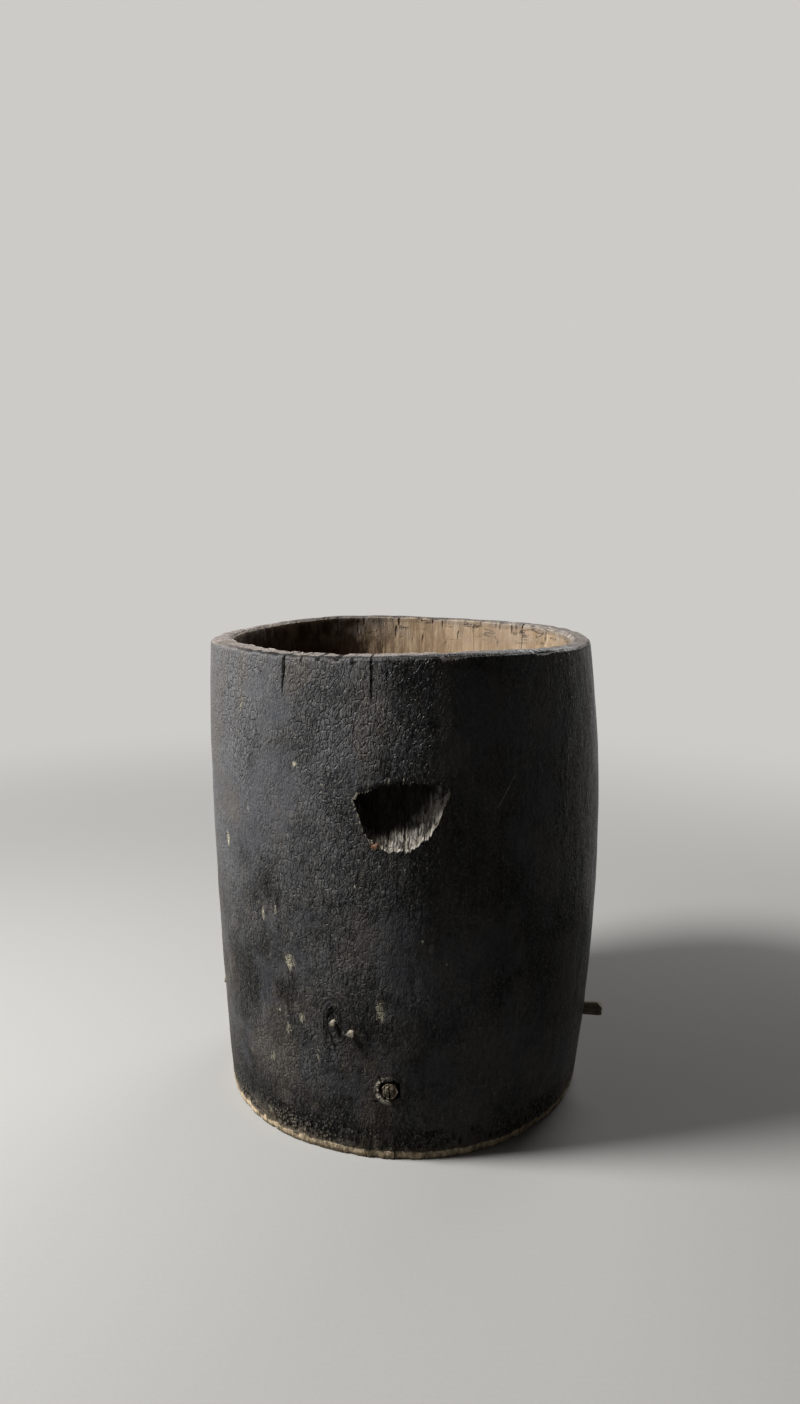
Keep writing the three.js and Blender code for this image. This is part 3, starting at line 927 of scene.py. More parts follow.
def worn_foot(wood, place, turn, height, ragged):
    """The colours laid over the foot, how bare its edge is, and how far it has rotted and crumbled.

    The foot is rubbed brown, and bare along its edge. The rubbing reaches highest at the lower left, under a
    row of dark dabs where the grain has rotted.
    """
    c = colours()
    left = turn.step(-0.2, -0.7) * turn.step(-1.8, -1.3)
    rubbed = (height + (0.5 - ragged) * 0.03).step(0.031, 0.004)
    worn_height = 0.0078 + (ragged - 0.5) * (0.006 + left * 0.007)
    foot = (height - worn_height).step(0.0009, -0.0006)
    grain = wood.cloud(wood.upright(place, 0.3), 260, 5, 0.7).step(0.62, 0.36)
    dabs = wood.cells(wood.upright(place, 0.42), 150, "F1").step(0.42, 0.2)
    dabs = dabs * height.step(0.033, 0.024) * height.step(0.008, 0.014) * ragged.step(0.42, 0.56)
    crumbled = height.step(0.036, 0.028) * height.step(0.006, 0.014)
    crumbled = crumbled * wood.cloud(place, 26, 3).step(0.4, 0.56)
    crumbs = wood.cells(wood.upright(place, 0.8), 360, "F1")
    layers = (
        (rubbed * (0.25 + left * 0.3), between(0.16, c.umber, c.foot)),
        (foot * 0.92, wood.blend(grain * 0.7, c.foot, c.hold_grain)),
        (crumbs.step(0.34, 0.14) * crumbled * 0.6, between(0.6, c.umber, c.scuff)),
        (crumbs.step(0.42, 0.62) * crumbled * 0.8, c.soot),
        (dabs * 0.85, c.soot),
    )
    return layers, foot, dabs, crumbs * crumbled


def cut_hold(wood, across, height, sunk, cut_grain, ridges):
    """The colour of the bare wood in a finger hold, darkened where it lies far in, at the left and close to
    its ledge: grime, and painted shadow of the ledge and the left wall.
    """
    c = colours()
    # Grime and painted shadow: the ledge and the left wall cast this shade from the upper left.
    grime_and_shadow = sunk - (across + 0.01) * 8 + (height - 0.329) * 7 + (ridges - 0.5) * 0.7
    return wood.layered(
        c.hold,
        ((cut_grain * 0.7 + ridges * 0.6).step(0.68, 0.5) * 0.9, c.hold_grain),
        (abs(ridges - 0.5).step(0.03, 0.008) * 0.8, c.hold_grain),
        (grime_and_shadow.step(0.22, 0.5) * 0.92, c.hold_grain),
    )


def blackened_log():
    """The wood of the log: blackened outside, bare inside and in its cuts, worn along its foot and rim."""
    c = colours()
    wood = Wood(bpy.data.materials.new("blackened log"))
    place = wood.place()
    x, y, height = wood.parts(place)
    across = x - AXIS_X
    turn = across.worked("ARCTAN2", across, AXIS_Y - y)
    wall = wood.joined(turn * sizes().belly_radius, height, 0)
    edge, inner, hold, deep = (wood.kept(name) for name in ("edge", "inner", "hold", "deep"))
    sunk, halo = wood.kept("sunk"), wood.kept("halo")
    ragged = wood.cloud(wood.upright(place, 0.35), 120, 5, 0.65)
    cut_grain = wood.cloud(wood.upright(place, 0.06), 330, 6, 0.65)
    ridges = wood.cloud(wood.upright(place, 0.09), 120, 4, 0.6)
    fibres = wood.cloud(wood.upright(place, 0.14), 520, 3, 0.6).step(0.56, 0.66)

    tone, roughness, relief = smoked_outside(wood, place, wall, height)
    foot_layers, foot, dabs, crumbs = worn_foot(wood, place, turn, height, ragged)
    relief = relief - dabs * 1.1 - crumbs * 2.4
    inner_tone, inner_roughness, inner_relief = bare_inside(wood, place)
    rim_tone, rim_relief = worn_rim(wood, place, edge, ridges)

    # The rim is bare over its inner half at the front, all over at the sides, and less so at the back.
    front = abs(turn).step(1.35, 0.75)
    back = abs(turn).step(2.0, 2.7)
    bared = (sunk + (ragged - 0.5) * 0.6).step(0.34, 0.56) * front + (1 - front) * (1 - back * 0.6)
    rim = wood.kept("rim") * bared

    # Cut wood is bare in the holds, and painted shade darkens the cracks and the mouths round the pegs.
    outside = 1 - inner
    over_hold = (1 - hold) * outside
    pit_shade = (nearest(wood, wall, PITS) * 1.3 + (ragged - 0.5) * 1.4).step(-0.05, 0.3)
    chip = nearest(wood, wall, (CHIP,))
    tone = wood.layered(
        tone,
        *foot_layers,
        (inner, inner_tone),
        # Painted shade in the cracks, peg mouths and other cuts below the skin.
        (deep * outside, c.soot),
        (hold, cut_hold(wood, across, height, sunk, cut_grain, ridges)),
        # Soot and painted shade of torn fibres, in a band over each hold's ledge.
        ((halo + (cut_grain - 0.5) * 1.2).step(0.3, 0.9) * over_hold * 0.85, c.soot),
        (fibres * halo.step(0.25, 0.6) * over_hold * 0.55, c.scuff),
        (rim, rim_tone),
        # Painted shade of pits, rim nicks and crack tails.
        (pit_shade * outside * 0.9, c.soot),
        (edge.step(0.08, 0.26) * outside * (1 - rim) * (0.2 + ragged * 0.6), c.scuff),
        ((chip + (cut_grain - 0.5) * 1.6).step(0.15, 0.6) * chip.step(-0.4, 0.2) * 0.55, c.rust),
    )

    bare = largest((inner, hold, rim, foot))
    roughness = roughness * (1 - bare) + inner_roughness * bare
    bare_relief = inner_relief * inner + rim_relief * rim + (cut_grain + ridges) * hold + ragged * foot
    normal = wood.relief(relief * (1 - bare) + bare_relief, LOG_RELIEF, 1.0)
    return wood.surface(tone, roughness, normal, LOG_SHEEN)


def grained(name, pale, dark, streak, fine, roughness, reach, along_x=False):
    """A wood from pale to dark, with its grain along the first kept axis, or along X."""
    wood = Wood(bpy.data.materials.new(name))
    place = wood.place() if along_x else wood.kept("grain", "Vector")
    stretched = wood.scaled(place, 0.07, 1, 1)
    bands = wood.cloud(stretched, streak, 6, 0.6, 0.5)
    hairs = wood.cloud(stretched, fine, 5, 0.7)
    dirt = wood.cloud(place, streak * 0.35, 4, 0.6)
    grain = bands * 0.6 + hairs * 0.5
    tone = wood.layered(
        dark,
        (grain.step(0.38, 0.72), pale),
        (dirt.step(0.52, 0.72) * 0.45, dark),
        (wood.kept("edge").step(0.04, 0.2) * 0.4, pale),
    )
    return wood.surface(tone, roughness - hairs * 0.14, wood.relief(grain, reach, 0.8), WOOD_SHEEN)


# The pieces.


def log_profile():
    """The log's section as (radius, height) rows: from the seat out under the foot, up, and down the bore."""
    s = sizes()
    foot, rim, seat = s.belly_radius - s.foot_taper, s.belly_radius - s.rim_taper, seat_radius()
    bore = rim - s.rim_wall
    seat_top, mouth = FLOOR_HEIGHT + SEAT_EASE, s.height - s.mouth_height
    bore_top, wall_top = s.height - LIP_ROUNDING, s.height - RIM_ROUNDING
    heights = np.concatenate([
        np.linspace(s.foot_bevel_height, 0.04, 16),
        np.linspace(0.04, 0.4, 108)[1:],
        np.linspace(0.4, wall_top, 20)[1:],
    ])
    bore_heights = np.concatenate([np.linspace(bore_top, mouth, 24), np.linspace(mouth, seat_top, 16)[1:]])

    def run(start, end, steps):
        """Rows along a straight line, without its end."""
        return np.linspace(start, end, steps, endpoint=False)

    return np.concatenate([
        run((seat, 0), (foot - s.foot_bevel, 0), 6),
        run((foot - s.foot_bevel, 0), (barrel_radius(s.foot_bevel_height), s.foot_bevel_height), 4),
        np.column_stack([barrel_radius(heights), heights]),
        run((barrel_radius(wall_top), wall_top), (rim - RIM_ROUNDING, s.height), 2)[1:],
        run((rim - RIM_ROUNDING, s.height), (bore + LIP_ROUNDING, s.height), 8),
        run((bore + LIP_ROUNDING, s.height), (bore, bore_top), 2),
        np.column_stack([bore_radius(bore_heights), bore_heights]),
        run((bore_radius(seat_top), seat_top), (seat, seat_top), 3)[1:],
        run((seat, seat_top), (seat, 0), 7),
    ])


def log_blank():
    """The log turned true from its section."""
    section = log_profile()
    bpy.ops.object.select_all(action="DESELECT")
    bpy.ops.mesh.primitive_circle_add(vertices=len(section), radius=0.1, fill_type="NOTHING")
    blank = newest("log")
    set_points(blank, np.zeros(len(section)), -section[:, 0], section[:, 1])
    bpy.ops.object.mode_set(mode="EDIT")
    bpy.ops.mesh.select_all(action="SELECT")
    bpy.ops.mesh.spin(steps=TURN_STEPS, angle=2 * math.pi, center=(0, 0, 0), axis=(0, 0, 1))
    bpy.ops.object.mode_set(mode="OBJECT")
    return close_up(blank)


def hewn_relief(face, turn, z, radius):
    """How hewing, fibres, rot and knocks have shaped the outside."""
    s = sizes()
    share = z / s.height
    dents = ripple(1, 26, 10, turn, share) * 0.6 + ripple(2, 60, 22, turn, share) * 0.4
    fibres = ripple(3, 210, 13, turn, share) * 0.6 + ripple(4, 330, 34, turn, share) * 0.4
    relief = face * (s.dents * (dents - 0.5) + s.fibres * (fibres - 0.4))

    # The flats fade out towards the left and right sides.
    off_front = math.pi / 2 - np.abs(np.abs(turn) - math.pi / 2)
    flats = ripple(20, 15, 4, turn, share) * smooth(1.25, 0.95, off_front)
    relief -= face * s.flats * (0.6 + flats)
    rot = np.clip(ripple(5, 240, 26, turn, share) - 0.15, 0, 1) * smooth(0.03, 0.004, z)
    relief -= face * rot * 0.0019
    for angle, up, half_width, half_height, strength, *_ in MARKS:
        off = np.hypot((turn - math.radians(angle)) * radius / half_width, (z - up) / half_height)
        relief -= face * smooth(1.4, 0.3, off) * MARK_DEPTH * min(strength, 1)
    return relief


def weather_log(log):
    """Gives the turned log its real form, with the dents, worn fibres, gouge flutes and chipped edges."""
    s = sizes()
    x, y, z = points_of(log).T
    blank_turn, radius = np.arctan2(x, -y), np.hypot(x, y)
    turn = blank_turn - FRONT_CROWDING * np.sin(blank_turn)
    share = z / s.height
    near_face = 0.0025
    inside = bored_radius(z) + near_face
    outside = barrel_radius(z) - near_face
    outer = np.clip((radius - inside) / (outside - inside), 0, 1)
    face = outer >= 1
    relief = hewn_relief(face, turn, z, radius)

    flute = (turn / (2 * math.pi) * 70 + 0.35 * ripple(6, 40, 9, turn, share)) % 1
    scoop = 4 * flute * (1 - flute) * (0.6 + 0.4 * ripple(7, 35, 6, turn, share))
    bored = (outer <= 0) & (z > FLOOR_HEIGHT + 0.001)
    relief += bored * (s.flutes * scoop + 0.0003 * ripple(8, 200, 12, turn, share))

    rim = smooth(s.height - 0.006, s.height - 0.001, z)
    chips = np.clip(ripple(9, 130, 3, turn, share) - 0.3, 0, 1) * 0.0016
    chips += np.clip(ripple(10, 34, 3, turn, share) - 0.5, 0, 1) * 0.003
    off_edge = smooth(0.0, 0.25, outer) * smooth(1.0, 0.75, outer)
    uneven = 0.0004 * (1 + ripple(11, 90, 3, turn, share)) * off_edge
    lowered = rim * (0.0012 * smooth(0.55, 1.0, outer) + chips * (1.1 - off_edge) + uneven)
    relief -= face * rim * chips * 0.5
    relief += (outer <= 0) * rim * chips * 0.7

    reach = radius + outer * lobe_swell(turn, z) + (1 - outer) * mouth_stray(turn, z) + relief
    shift = outer * bow_at(z)
    lift = rim_lift(turn, z) * np.maximum(outer, smooth(s.height - s.mouth_height, s.height, z))
    set_points(log, AXIS_X + reach * np.sin(turn) + shift, AXIS_Y - reach * np.cos(turn), z + lift - lowered)


def softened(shares, at):
    """A line through a few points, rounded at its corners and read at some places."""
    fine = np.linspace(-1, 1, 201)
    line = np.interp(fine, *np.array(shares).T)
    padded = np.pad(line, 9, mode="reflect", reflect_type="odd")
    return np.interp(at, fine, np.convolve(padded, np.ones(19) / 19, mode="valid"))


def step_of(line, steps):
    """Which of so many even steps each place lies at, on a line from -1 to 1."""
    return np.rint((line + 1) / 2 * steps).astype(int)


def hold_cutter(angle, seed):
    """The air of a finger hold: a half moon that deepens from its lip to its ledge, torn along the grain."""
    s = sizes()
    turn = math.radians(angle)
    lip, ledge = hold_heights()
    rng = np.random.default_rng(seed)
    columns, rows = 92, 46
    cutter = slab("hold cutter", columns, rows)
    u, v, layer = points_of(cutter).T
    column = step_of(u, columns)
    fine_tears = rng.uniform(-1, 1, (2, columns + 1))
    broad_tears = np.repeat(rng.uniform(-1, 1, (2, 24)), 4, axis=1)[:, : columns + 1]
    tears = fine_tears * 0.9 + broad_tears * 0.6
    v = (v + 1) / 2
    low = softened(LIP_SHARES, u) * s.hold_height + 0.0016 * tears[0][column]
    high = softened(LEDGE_SHARES, u) * s.hold_height + 0.0026 * tears[1][column]
    high = np.maximum(high, low + 0.003)
    across = u * s.hold_width / 2 + 0.0006 * ripple(seed + 1, 40, 18, v * 3 + angle, (u + 1) / 2)
    up = low + (high - low) * v
    wall = wall_reach(turn + across / s.belly_radius, lip + up)

    # The hold is deepest under its ledge and runs out to the right, with grooves and scoops in its face.
    shallowest = s.lip_depth * 0.4
    deepest = wall_reach(turn, ledge) - bore_radius(ledge) - s.hold_back
    rise = smooth(-0.12, 0.75, v) * 0.5 + 0.5 * np.clip(v, 0, 1) ** 0.7
    run_out = np.clip((1.04 - u) / 1.1, 0, 1) ** 0.75
    depth = shallowest + (deepest - shallowest) * np.minimum(1, (0.2 + 0.95 * rise) * (0.12 + 0.88 * run_out))
    beside = u * 1.6 + angle
    grooves = ripple(seed + 2, 150, 5, beside, v) * 0.7 + ripple(seed + 3, 260, 12, beside, v) * 0.5
    scoops = ripple(seed + 4, 14, 4, beside, v)
    inside = smooth(0, 0.08, v) * smooth(1, 0.95, np.abs(u))
    depth = depth + inside * (0.0008 * grooves + 0.0012 * scoops)
    out = np.where(layer < 0.5, np.sqrt((wall - depth) ** 2 - across**2), wall + PAST_WALL)
    across = across * np.where(layer < 0.5, 0.985, 1.0)
    return to_wall(cutter, angle, lip, across, up, out)


def crack_cutter(index, angle, low, high, width, depth, lean):
    """A thin jagged wedge that is widest at the end of the log."""
    rng = np.random.default_rng(100 + index)
    rows = max(8, int((high - low) / 0.0018))
    at_rim = high > sizes().height
    cutter = slab("crack cutter", 1, rows)
    side, v, layer = points_of(cutter).T
    row = step_of(v, rows)
    v = (v + 1) / 2
    from_tip = v if at_rim else 1 - v
    wander = np.cumsum(rng.normal(0, 0.00022, rows + 1))
    wander = (wander - wander[-1 if at_rim else 0])[row]
    half = width / 2 * np.clip(from_tip, 0.02, 1) ** 0.6 * (1 + 0.35 * rng.uniform(-1, 1, rows + 1)[row])
    height = low + (high - low) * v
    wall = wall_reach(math.radians(angle), height)
    inward = np.full_like(wall, INSIDE_BORE) if depth == 0 else wall - depth * np.clip(from_tip, 0.1, 1)
    out = np.where(layer < 0.5, inward, wall + PAST_WALL)
    leaning = -lean * np.clip((wall - out) / sizes().rim_wall, 0, 1.4)
    return to_wall(cutter, angle, 0, side * half + wander + leaning, height, out)


def peg_radius_at(peg, out):
    """The radius of a peg's taper at a distance from the axis."""
    angle, proud, _ = PEGS[peg]
    point = BOARD_RADIUS - PEG_BITE
    head = wall_at(angle, PEG_HEIGHT) + proud
    return PEG_POINT_RADIUS + (sizes().peg_radius - PEG_POINT_RADIUS) * (out - point) / (head - point)


def peg_hole_cutter(peg, seed):
    """A peg's tapered hole, with the crumbled mouth that wear has opened round its head."""
    angle = PEGS[peg][0]
    wall = wall_at(angle, PEG_HEIGHT)
    ends = (BOARD_RADIUS - PEG_BITE - HOLE_EASE, wall - 0.008)
    rings = [(out, peg_radius_at(peg, out) + HOLE_EASE) for out in ends]
    rings += [(wall - depth, sizes().peg_radius + wider) for depth, wider in PEG_MOUTH]
    cutter = turned_bar("peg cutter", rings, 40)
    x, y, z = points_of(cutter).T
    around = np.arctan2(y, x)
    crumbled = 0.17 * ripple(seed, 8, 2, around, 0) + 0.1 * ripple(seed + 1, 26, 2, around, 0)
    ragged = 1 + smooth(wall - 0.006, wall - 0.001, z) * crumbled
    return to_wall(cutter, angle, PEG_HEIGHT, x * ragged, y * ragged, z)


def pin_hole_cutter(pin):
    """The blind hole that a pin is driven into."""
    angle, height, radius, _ = PINS[pin]
    wall = wall_at(angle, height)
    loose = radius + HOLE_EASE
    rings = [(wall - PIN_DEPTH - HOLE_EASE, loose), (wall - 0.002, loose), (wall + 0.01, radius + 0.003)]
    cutter = turned_bar("pin cutter", rings, 24)
    x, y, z = points_of(cutter).T
    return to_wall(cutter, angle, height, x, y, z)


def knot_cutter():
    """The crumbled dish of the sunken knot."""
    bpy.ops.object.select_all(action="DESELECT")
    bpy.ops.mesh.primitive_uv_sphere_add(segments=48, ring_count=30, radius=1)
    cutter = newest("knot cutter")
    x, y, z = points_of(cutter).T
    around = np.arctan2(y, x)
    ragged = 1 + 0.16 * ripple(31, 11, 4, around, (z + 1) / 2) + 0.12 * ripple(32, 34, 9, around, (z + 1) / 2)
    rough = 0.0006 * ripple(33, 16, 16, around, np.hypot(x, y))
    half_width, half_height, depth = KNOT_DISH
    out = wall_at(KNOT_ANGLE, KNOT_HEIGHT) + z * depth + rough
    return to_wall(cutter, KNOT_ANGLE, KNOT_HEIGHT, x * half_width * ragged, y * half_height * ragged, out)


def read_log(log):
    """Keeps on the log's points where they lie, which its wood reads."""
    s = sizes()
    lip, ledge = hold_heights()
    half = s.hold_width / 2
    x, y, z = points_of(log).T
    x, y = x - AXIS_X, y - AXIS_Y
    turn, radius = np.arctan2(x, -y), np.hypot(x, y)
    below_skin = wall_reach(turn, z) - radius
    inner = smooth(0.0022, 0.0012, radius - bored_radius(z, mouth_stray(turn, z)))
    top = s.height + rim_lift(turn, np.full_like(z, s.height))
    on_rim = smooth(0.0007, 0.0022, below_skin + (z > top - 0.0015) * 0.003)

    # A dark band lies over each hold and fades with the distance from its ledge: soot, and painted shade of
    # the torn fibres.
    off_hold = np.abs((turn + math.pi / 2) % math.pi - math.pi / 2) * radius
    over = smooth(half + 0.006, half - 0.008, off_hold) * smooth(ledge - 0.02, ledge - 0.012, z)
    ledge_line = ledge - 0.001 - 0.008 * smooth(0, half, off_hold)

    # Edges are painted pale as wear, and on the rim also as painted highlight; not along the cracks, and at a
    # hold only along the left of its lip.
    edge = sharpness(log)
    for angle, low, high, *_ in CRACKS:
        beside = (np.abs(turn - math.radians(angle)) * radius < 0.0045) & (z > low - 0.002) & (z < high)
        edge[beside & (below_skin > -0.0005)] = 0
    across = np.sin(turn) * np.where(np.cos(turn) > 0, 1, -1) * radius
    by_hold = (z > lip - 0.006) & (z < ledge + 0.006) & (np.abs(across) < half + 0.006)
    left = smooth(-0.2, -0.75, across[by_hold] / half)
    edge[by_hold] *= left * smooth(ledge - 0.004, ledge - 0.012, z[by_hold]) * 1.6

    paint(log, "inner", inner)
    paint(log, "rim", smooth(top - 0.0042, top - 0.0022, z) * on_rim)
    # Painted shade: how far a point lies in a cut below the skin, where shade falls.
    paint(log, "deep", smooth(0.0024, 0.0044, below_skin) * (1 - inner))
    paint(log, "sunk", np.clip(below_skin / 0.02, 0, 1))
    paint(log, "halo", over * smooth(ledge_line + 0.009, ledge_line, z))
    paint(log, "hold", within_cut(log, HOLD_WOOD))
    paint(log, "edge", edge)


class LOGPOT_OT_hollow_log(bpy.types.Operator):
    """Turns the hollow log, weathers it, and cuts its finger holds, cracks, knot and peg holes"""

    bl_idname = "logpot.hollow_log"
    bl_label = "Hollow Log"

    def execute(self, context):
        log = log_blank()
        weather_log(log)
        mark_cut(log, SKIN)
        holds = [mark_cut(hold_cutter(angle, 40 + 10 * i), HOLD_WOOD) for i, angle in enumerate(HOLD_ANGLES)]
        cracks = [mark_cut(crack_cutter(i, *crack), DARK_CUT) for i, crack in enumerate(CRACKS)]
        peg_holes = [mark_cut(peg_hole_cutter(peg, 60 + 5 * i), DARK_CUT) for i, peg in enumerate(PEGS)]
        carve(log, holds + cracks + peg_holes)
        carve(log, [mark_cut(knot_cutter(), DARK_CUT)])
        carve(log, [mark_cut(pin_hole_cutter(pin), DARK_CUT) for pin in PINS])
        read_log(log)
        finish_piece(log, blackened_log(), "blackened_log", "hollow_log")
        return {"FINISHED"}


class LOGPOT_OT_bottom_planks(bpy.types.Operator):
    """Makes the three planks of the bottom, adzed on top and worn along their edges"""

    bl_idname = "logpot.bottom_planks"
    bl_label = "Bottom Planks"

    def execute(self, context):
        c = colours()
        for index, node in enumerate(PLANKS):
            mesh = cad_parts[node].data.copy()
            plank = bpy.data.objects.new(node.replace("bottom_plank", "plank"), mesh)
            context.collection.objects.link(plank)
            close_up(plank, 1e-5)
            finish_modifier(plank, "REMESH", mode="VOXEL", voxel_size=0.0023)
            x, y, z = points_of(plank).T
            top = smooth(FLOOR_HEIGHT - 0.004, FLOOR_HEIGHT - 0.0005, z)
            strokes = (x / 0.034 + 0.7 * np.sin(y / 0.017 + index) + 0.3 * np.sin(y / 0.0061)) % 1
            scoop = 4 * strokes * (1 - strokes)
            turn = np.arctan2(x, -y) + index
            rough = 1 + ripple(70 + index, 60, 9, turn + x * 9, np.abs(y) / 0.17)
            set_points(plank, x, y, z - top * (0.0005 * scoop + 0.0003 * rough))
            lay_grain(plank, x, y + 0.4 * index, z)
            paint(plank, "edge", sharpness(plank, 3))
            wood = grained(f"plank {index + 1}", c.board, c.board_grain, 120, 520, 0.86, 0.0006)
            finish_piece(plank, wood, "bottom_board", node, angle=50)
        return {"FINISHED"}


class LOGPOT_OT_dowels(bpy.types.Operator):
    """Gives the dowels in the planks' joints their bamboo"""

    bl_idname = "logpot.dowels"
    bl_label = "Dowels"

    def execute(self, context):
        c = colours()
        bamboo = grained("split bamboo", c.dowel, c.board_grain, 300, 900, 0.6, 0.0002, along_x=True)
        for name in DOWELS:
            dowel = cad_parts[name]
            dowel.data.materials.clear()
            dowel.data.materials.append(bamboo)
        return {"FINISHED"}


class LOGPOT_OT_pegs(bpy.types.Operator):
    """Whittles the four pegs that hold the bottom, splits two of them and trims the long one"""

    bl_idname = "logpot.pegs"
    bl_label = "Pegs"

    def execute(self, context):
        c = colours()
        wood = grained("dry peg", c.peg, c.peg_grain, 520, 1500, 0.88, 0.0005)
        for index, (name, (angle, proud, is_split)) in enumerate(PEGS.items()):
            head = wall_at(angle, PEG_HEIGHT) + proud
            peg = self.whittled(name, index, angle, head, is_split)
            if is_split:
                for shift in (0, 1, -1):
                    carve(peg, [self.split(angle, head, index + shift, shift * 0.0038)])
            if name == "right_peg":
                self.trim(peg, angle, head)
            lay_driven_grain(peg, angle, 0.1 * index)
            finish_piece(peg, wood, "peg", name, angle=28)
        return {"FINISHED"}

    def whittled(self, name, index, angle, head, is_split):
        """A peg with its taper, its long facets and its rough head, which is domed where it has split."""
        radius, point = sizes().peg_radius, BOARD_RADIUS - PEG_BITE
        rings = [(out, peg_radius_at(name, out)) for out in np.linspace(point, head - 0.0012, 26)]
        rings += [(head - 0.0004, radius - 0.0006), (head, radius - 0.0014)]
        rings += [(head, radius * share) for share in (0.62, 0.42, 0.2)]
        peg = turned_bar(name.replace("_peg", "_bottom_peg"), rings, 36)
        x, y, z = points_of(peg).T
        around, reach = np.arctan2(y, x), np.hypot(x, y) / radius
        facet = 2 * math.pi / PEG_FACETS
        flat = math.cos(facet / 2) / np.cos((around + index) % facet - facet / 2)
        nearly = 0.35 + 0.65 * flat
        wavy = 1 + 0.018 * ripple(80 + index, 12, 7, around, (z - point) / (head - point))
        cut_in = np.minimum(nearly / nearly.max(), 1) * wavy
        rough = 0.0006 * (1 + ripple(85 + index, 9, 6, around, reach))
        z = z - smooth(head - 0.0014, head, z) * (rough + (0.0014 * reach**2 if is_split else 0))
        return to_wall(peg, angle, PEG_HEIGHT, x * cut_in, y * cut_in, z)

    def split(self, angle, head, seed, aside):
        """A jagged wedge of air along which a driven peg has opened, narrower where it lies aside."""
        rng = np.random.default_rng(200 + seed)
        rows = 16
        cutter = slab("split cutter", 1, rows)
        side, v, layer = points_of(cutter).T
        row = step_of(v, rows)
        half = (0.0007 if aside else 0.0012) * (1 + 0.45 * rng.uniform(-1, 1, rows + 1)[row])
        wander = aside + 0.0005 * np.sin(v * 2.6 + seed * 0.4) - 0.0016 * v
        wander = wander + 0.0003 * rng.uniform(-1, 1, rows + 1)[row]
        spread = np.where(layer < 0.5, 0.25, 1.0)
        out = np.where(layer < 0.5, head - (0.004 if aside else 0.009), head + 0.003)
        return to_wall(cutter, angle, PEG_HEIGHT, side * half * spread + wander, v * 0.012, out)

    def trim(self, peg, angle, head):
        """Chops the upper corner of the long peg away at a slant."""
        turn = math.radians(angle)
        outward = np.array([math.sin(turn), -math.cos(turn), 0])
        corner = np.array([AXIS_X, AXIS_Y, 0]) + outward * (head - 0.005)
        take(peg)
        bpy.ops.object.mode_set(mode="EDIT")
        bpy.ops.mesh.select_all(action="SELECT")
        bpy.ops.mesh.bisect(
            plane_co=(corner[0], corner[1], PEG_HEIGHT + 0.0068),
            plane_no=(outward[0] * 0.6, outward[1] * 0.6, 0.8),
            use_fill=True,
            clear_outer=True,
        )
        bpy.ops.object.mode_set(mode="OBJECT")
        close_up(peg)


class LOGPOT_OT_pins(bpy.types.Operator):
    """Makes the small bleached pins in the wall"""

    bl_idname = "logpot.pins"
    bl_label = "Pins"

    def execute(self, context):
        c = colours()
        pale = grained("bleached pin", c.pin, c.peg, 900, 2400, 0.85, 0.0003)
        dark = grained("grimy pin", c.peg, c.peg_grain, 900, 2400, 0.85, 0.0003)
        for index, (name, (angle, height, radius, proud)) in enumerate(PINS.items()):
            wall = wall_at(angle, height)
            head = wall + proud
            rings = [(out, radius * 0.985) for out in np.linspace(wall - PIN_DEPTH, head - 0.0012, 9)]
            rings += [(head - 0.0006, radius * 0.93), (head - 0.0002, radius * 0.8)]
            domed = ((-0.0001, 0.6), (-0.00005, 0.35), (0, 0.12))
            rings += [(head + rise, radius * share) for rise, share in domed]
            pin = turned_bar(name.replace("_pin", "_wall_pin"), rings, 28)
            x, y, z = points_of(pin).T
            around, reach = np.arctan2(y, x), np.hypot(x, y) / radius
            worn = 1 - 0.05 * (1 + ripple(90 + index, 8, 5, around, (z - wall + PIN_DEPTH) / 0.024))
            z = z - smooth(wall, head, z) * 0.00025 * (1 + ripple(95 + index, 7, 4, around, reach))
            to_wall(pin, angle, height, x * worn, y * worn, z)
            lay_driven_grain(pin, angle)
            finish_piece(pin, dark if name == "left_pin" else pale, "pin", name, angle=40)
        return {"FINISHED"}


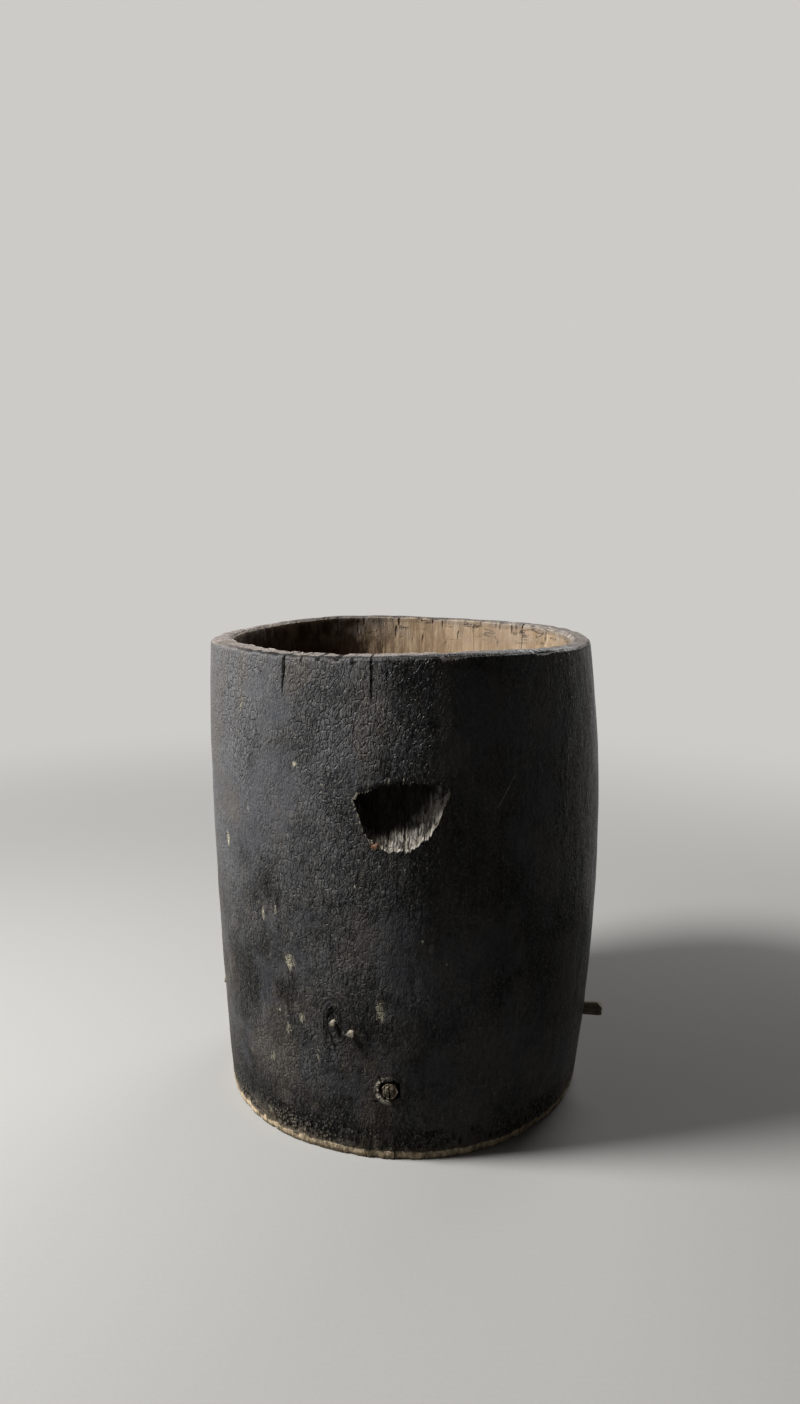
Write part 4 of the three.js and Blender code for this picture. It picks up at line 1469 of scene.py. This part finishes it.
class LOGPOT_OT_stage(bpy.types.Operator):
    """Sets the camera, the soft lamps, the plain surround and the floor"""

    bl_idname = "logpot.stage"
    bl_label = "Stage"

    def execute(self, context):
        settings = context.scene.log_pot_stage
        self.add_camera(context, settings)
        for name, (place, size, setting) in LAMPS.items():
            self.add_lamp(name, place, size, getattr(settings, setting))
        self.add_floor()
        self.add_surround(context.scene, settings)
        context.scene.view_settings.view_transform = "Standard"
        return {"FINISHED"}

    def add_camera(self, context, settings):
        """Stands the camera in front of the pot."""
        bpy.ops.object.select_all(action="DESELECT")
        place = (AXIS_X, AXIS_Y - settings.camera_distance, settings.camera_height)
        rotation = (math.pi / 2 - settings.tilt, 0, math.radians(CAMERA_TURN))
        bpy.ops.object.camera_add(location=place, rotation=rotation)
        camera = bpy.context.active_object
        camera.name = "camera"
        camera.data.lens = settings.lens
        camera.data.sensor_width = 36
        camera.data.clip_start = 0.01
        context.scene.camera = camera

    def add_lamp(self, name, place, size, energy):
        """Hangs a round soft lamp that faces the pot."""
        bpy.ops.object.select_all(action="DESELECT")
        aim = np.array(LAMP_AIM) - np.array(place)
        level = math.hypot(aim[0], aim[1])
        rotation = (math.atan2(level, -aim[2]), 0, math.atan2(aim[1], aim[0]) - math.pi / 2)
        bpy.ops.object.light_add(type="AREA", location=place, rotation=rotation)
        lamp = bpy.context.active_object
        lamp.name = name
        lamp.data.shape = "DISK"
        lamp.data.size = size
        lamp.data.energy = energy

    def add_floor(self):
        """Lays the plain floor, dark to the light that it would throw back and fading into the backdrop."""
        bpy.ops.object.select_all(action="DESELECT")
        bpy.ops.mesh.primitive_circle_add(vertices=96, radius=FLOOR_RADIUS, fill_type="NGON")
        floor = newest("floor")
        ground = Wood(bpy.data.materials.new("plain floor"))
        place = ground.place()
        seen = ground.seen()
        speckled = ground.blend(0.5 + ground.cloud(place, 300, 3) * 0.04, colours().floor, (0.0, 0.0, 0.0))
        tone = ground.blend(seen, (0.1, 0.1, 0.1), speckled)
        sockets = {"Base Color": tone, "Roughness": 0.9, "Specular IOR Level": 0.2}
        near = ground.node("ShaderNodeBsdfPrincipled", {}, sockets)
        far = ground.node("ShaderNodeEmission", {}, {"Color": (*colours().floor, 1), "Strength": 1.0})
        away = ground.span(place).step(*FLOOR_FADE) * seen
        mixed = ground.node("ShaderNodeMixShader", {}, {0: away, 1: near, 2: far})
        floor.data.materials.append(ground.ended(mixed))

    def add_surround(self, scene, settings):
        """Lights the pot weakly from all round, in front of a plain backdrop."""
        sky = Wood(bpy.data.worlds.new("surround"))
        lit = sky.node("ShaderNodeBackground", {}, {"Color": (1, 1, 1, 1), "Strength": settings.surround})
        backdrop = sky.node("ShaderNodeBackground", {}, {"Color": (*colours().floor, 1), "Strength": 1})
        either = sky.node("ShaderNodeMixShader", {}, {0: sky.seen(), 1: lit, 2: backdrop})
        scene.world = sky.ended(either, "ShaderNodeOutputWorld")


class LOGPOT_PT_panel(bpy.types.Panel):
    """Lists the steps that build the pot, with its sizes, colours and stage"""

    bl_idname = "LOGPOT_PT_panel"
    bl_label = "Log Pot"
    bl_space_type = "VIEW_3D"
    bl_region_type = "UI"
    bl_category = "Log Pot"

    def draw(self, context):
        layout = self.layout
        for operator in OPERATORS:
            layout.operator(operator.bl_idname)
        scene = context.scene
        for group in (scene.log_pot_sizes, scene.log_pot_colours, scene.log_pot_stage):
            box = layout.box()
            for name in group.__annotations__:
                box.prop(group, name)


OPERATORS = (
    LOGPOT_OT_hollow_log,
    LOGPOT_OT_bottom_planks,
    LOGPOT_OT_dowels,
    LOGPOT_OT_pegs,
    LOGPOT_OT_pins,
    LOGPOT_OT_stage,
)
CLASSES = (LogPotSizes, LogPotColours, LogPotStage, *OPERATORS, LOGPOT_PT_panel)


def register():
    """Adds the pot's settings, steps and panel."""
    for each in CLASSES:
        bpy.utils.register_class(each)
    bpy.types.Scene.log_pot_sizes = bpy.props.PointerProperty(type=LogPotSizes)
    bpy.types.Scene.log_pot_colours = bpy.props.PointerProperty(type=LogPotColours)
    bpy.types.Scene.log_pot_stage = bpy.props.PointerProperty(type=LogPotStage)


def unregister():
    """Takes away what register added."""
    del bpy.types.Scene.log_pot_stage
    del bpy.types.Scene.log_pot_colours
    del bpy.types.Scene.log_pot_sizes
    for each in reversed(CLASSES):
        bpy.utils.unregister_class(each)


def main():
    """Builds the pot and its stage."""
    register()
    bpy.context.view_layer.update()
    bpy.ops.logpot.hollow_log()
    bpy.ops.logpot.bottom_planks()
    bpy.ops.logpot.dowels()
    bpy.ops.logpot.pegs()
    bpy.ops.logpot.pins()
    bpy.ops.logpot.stage()


if __name__ == "__main__":
    main()
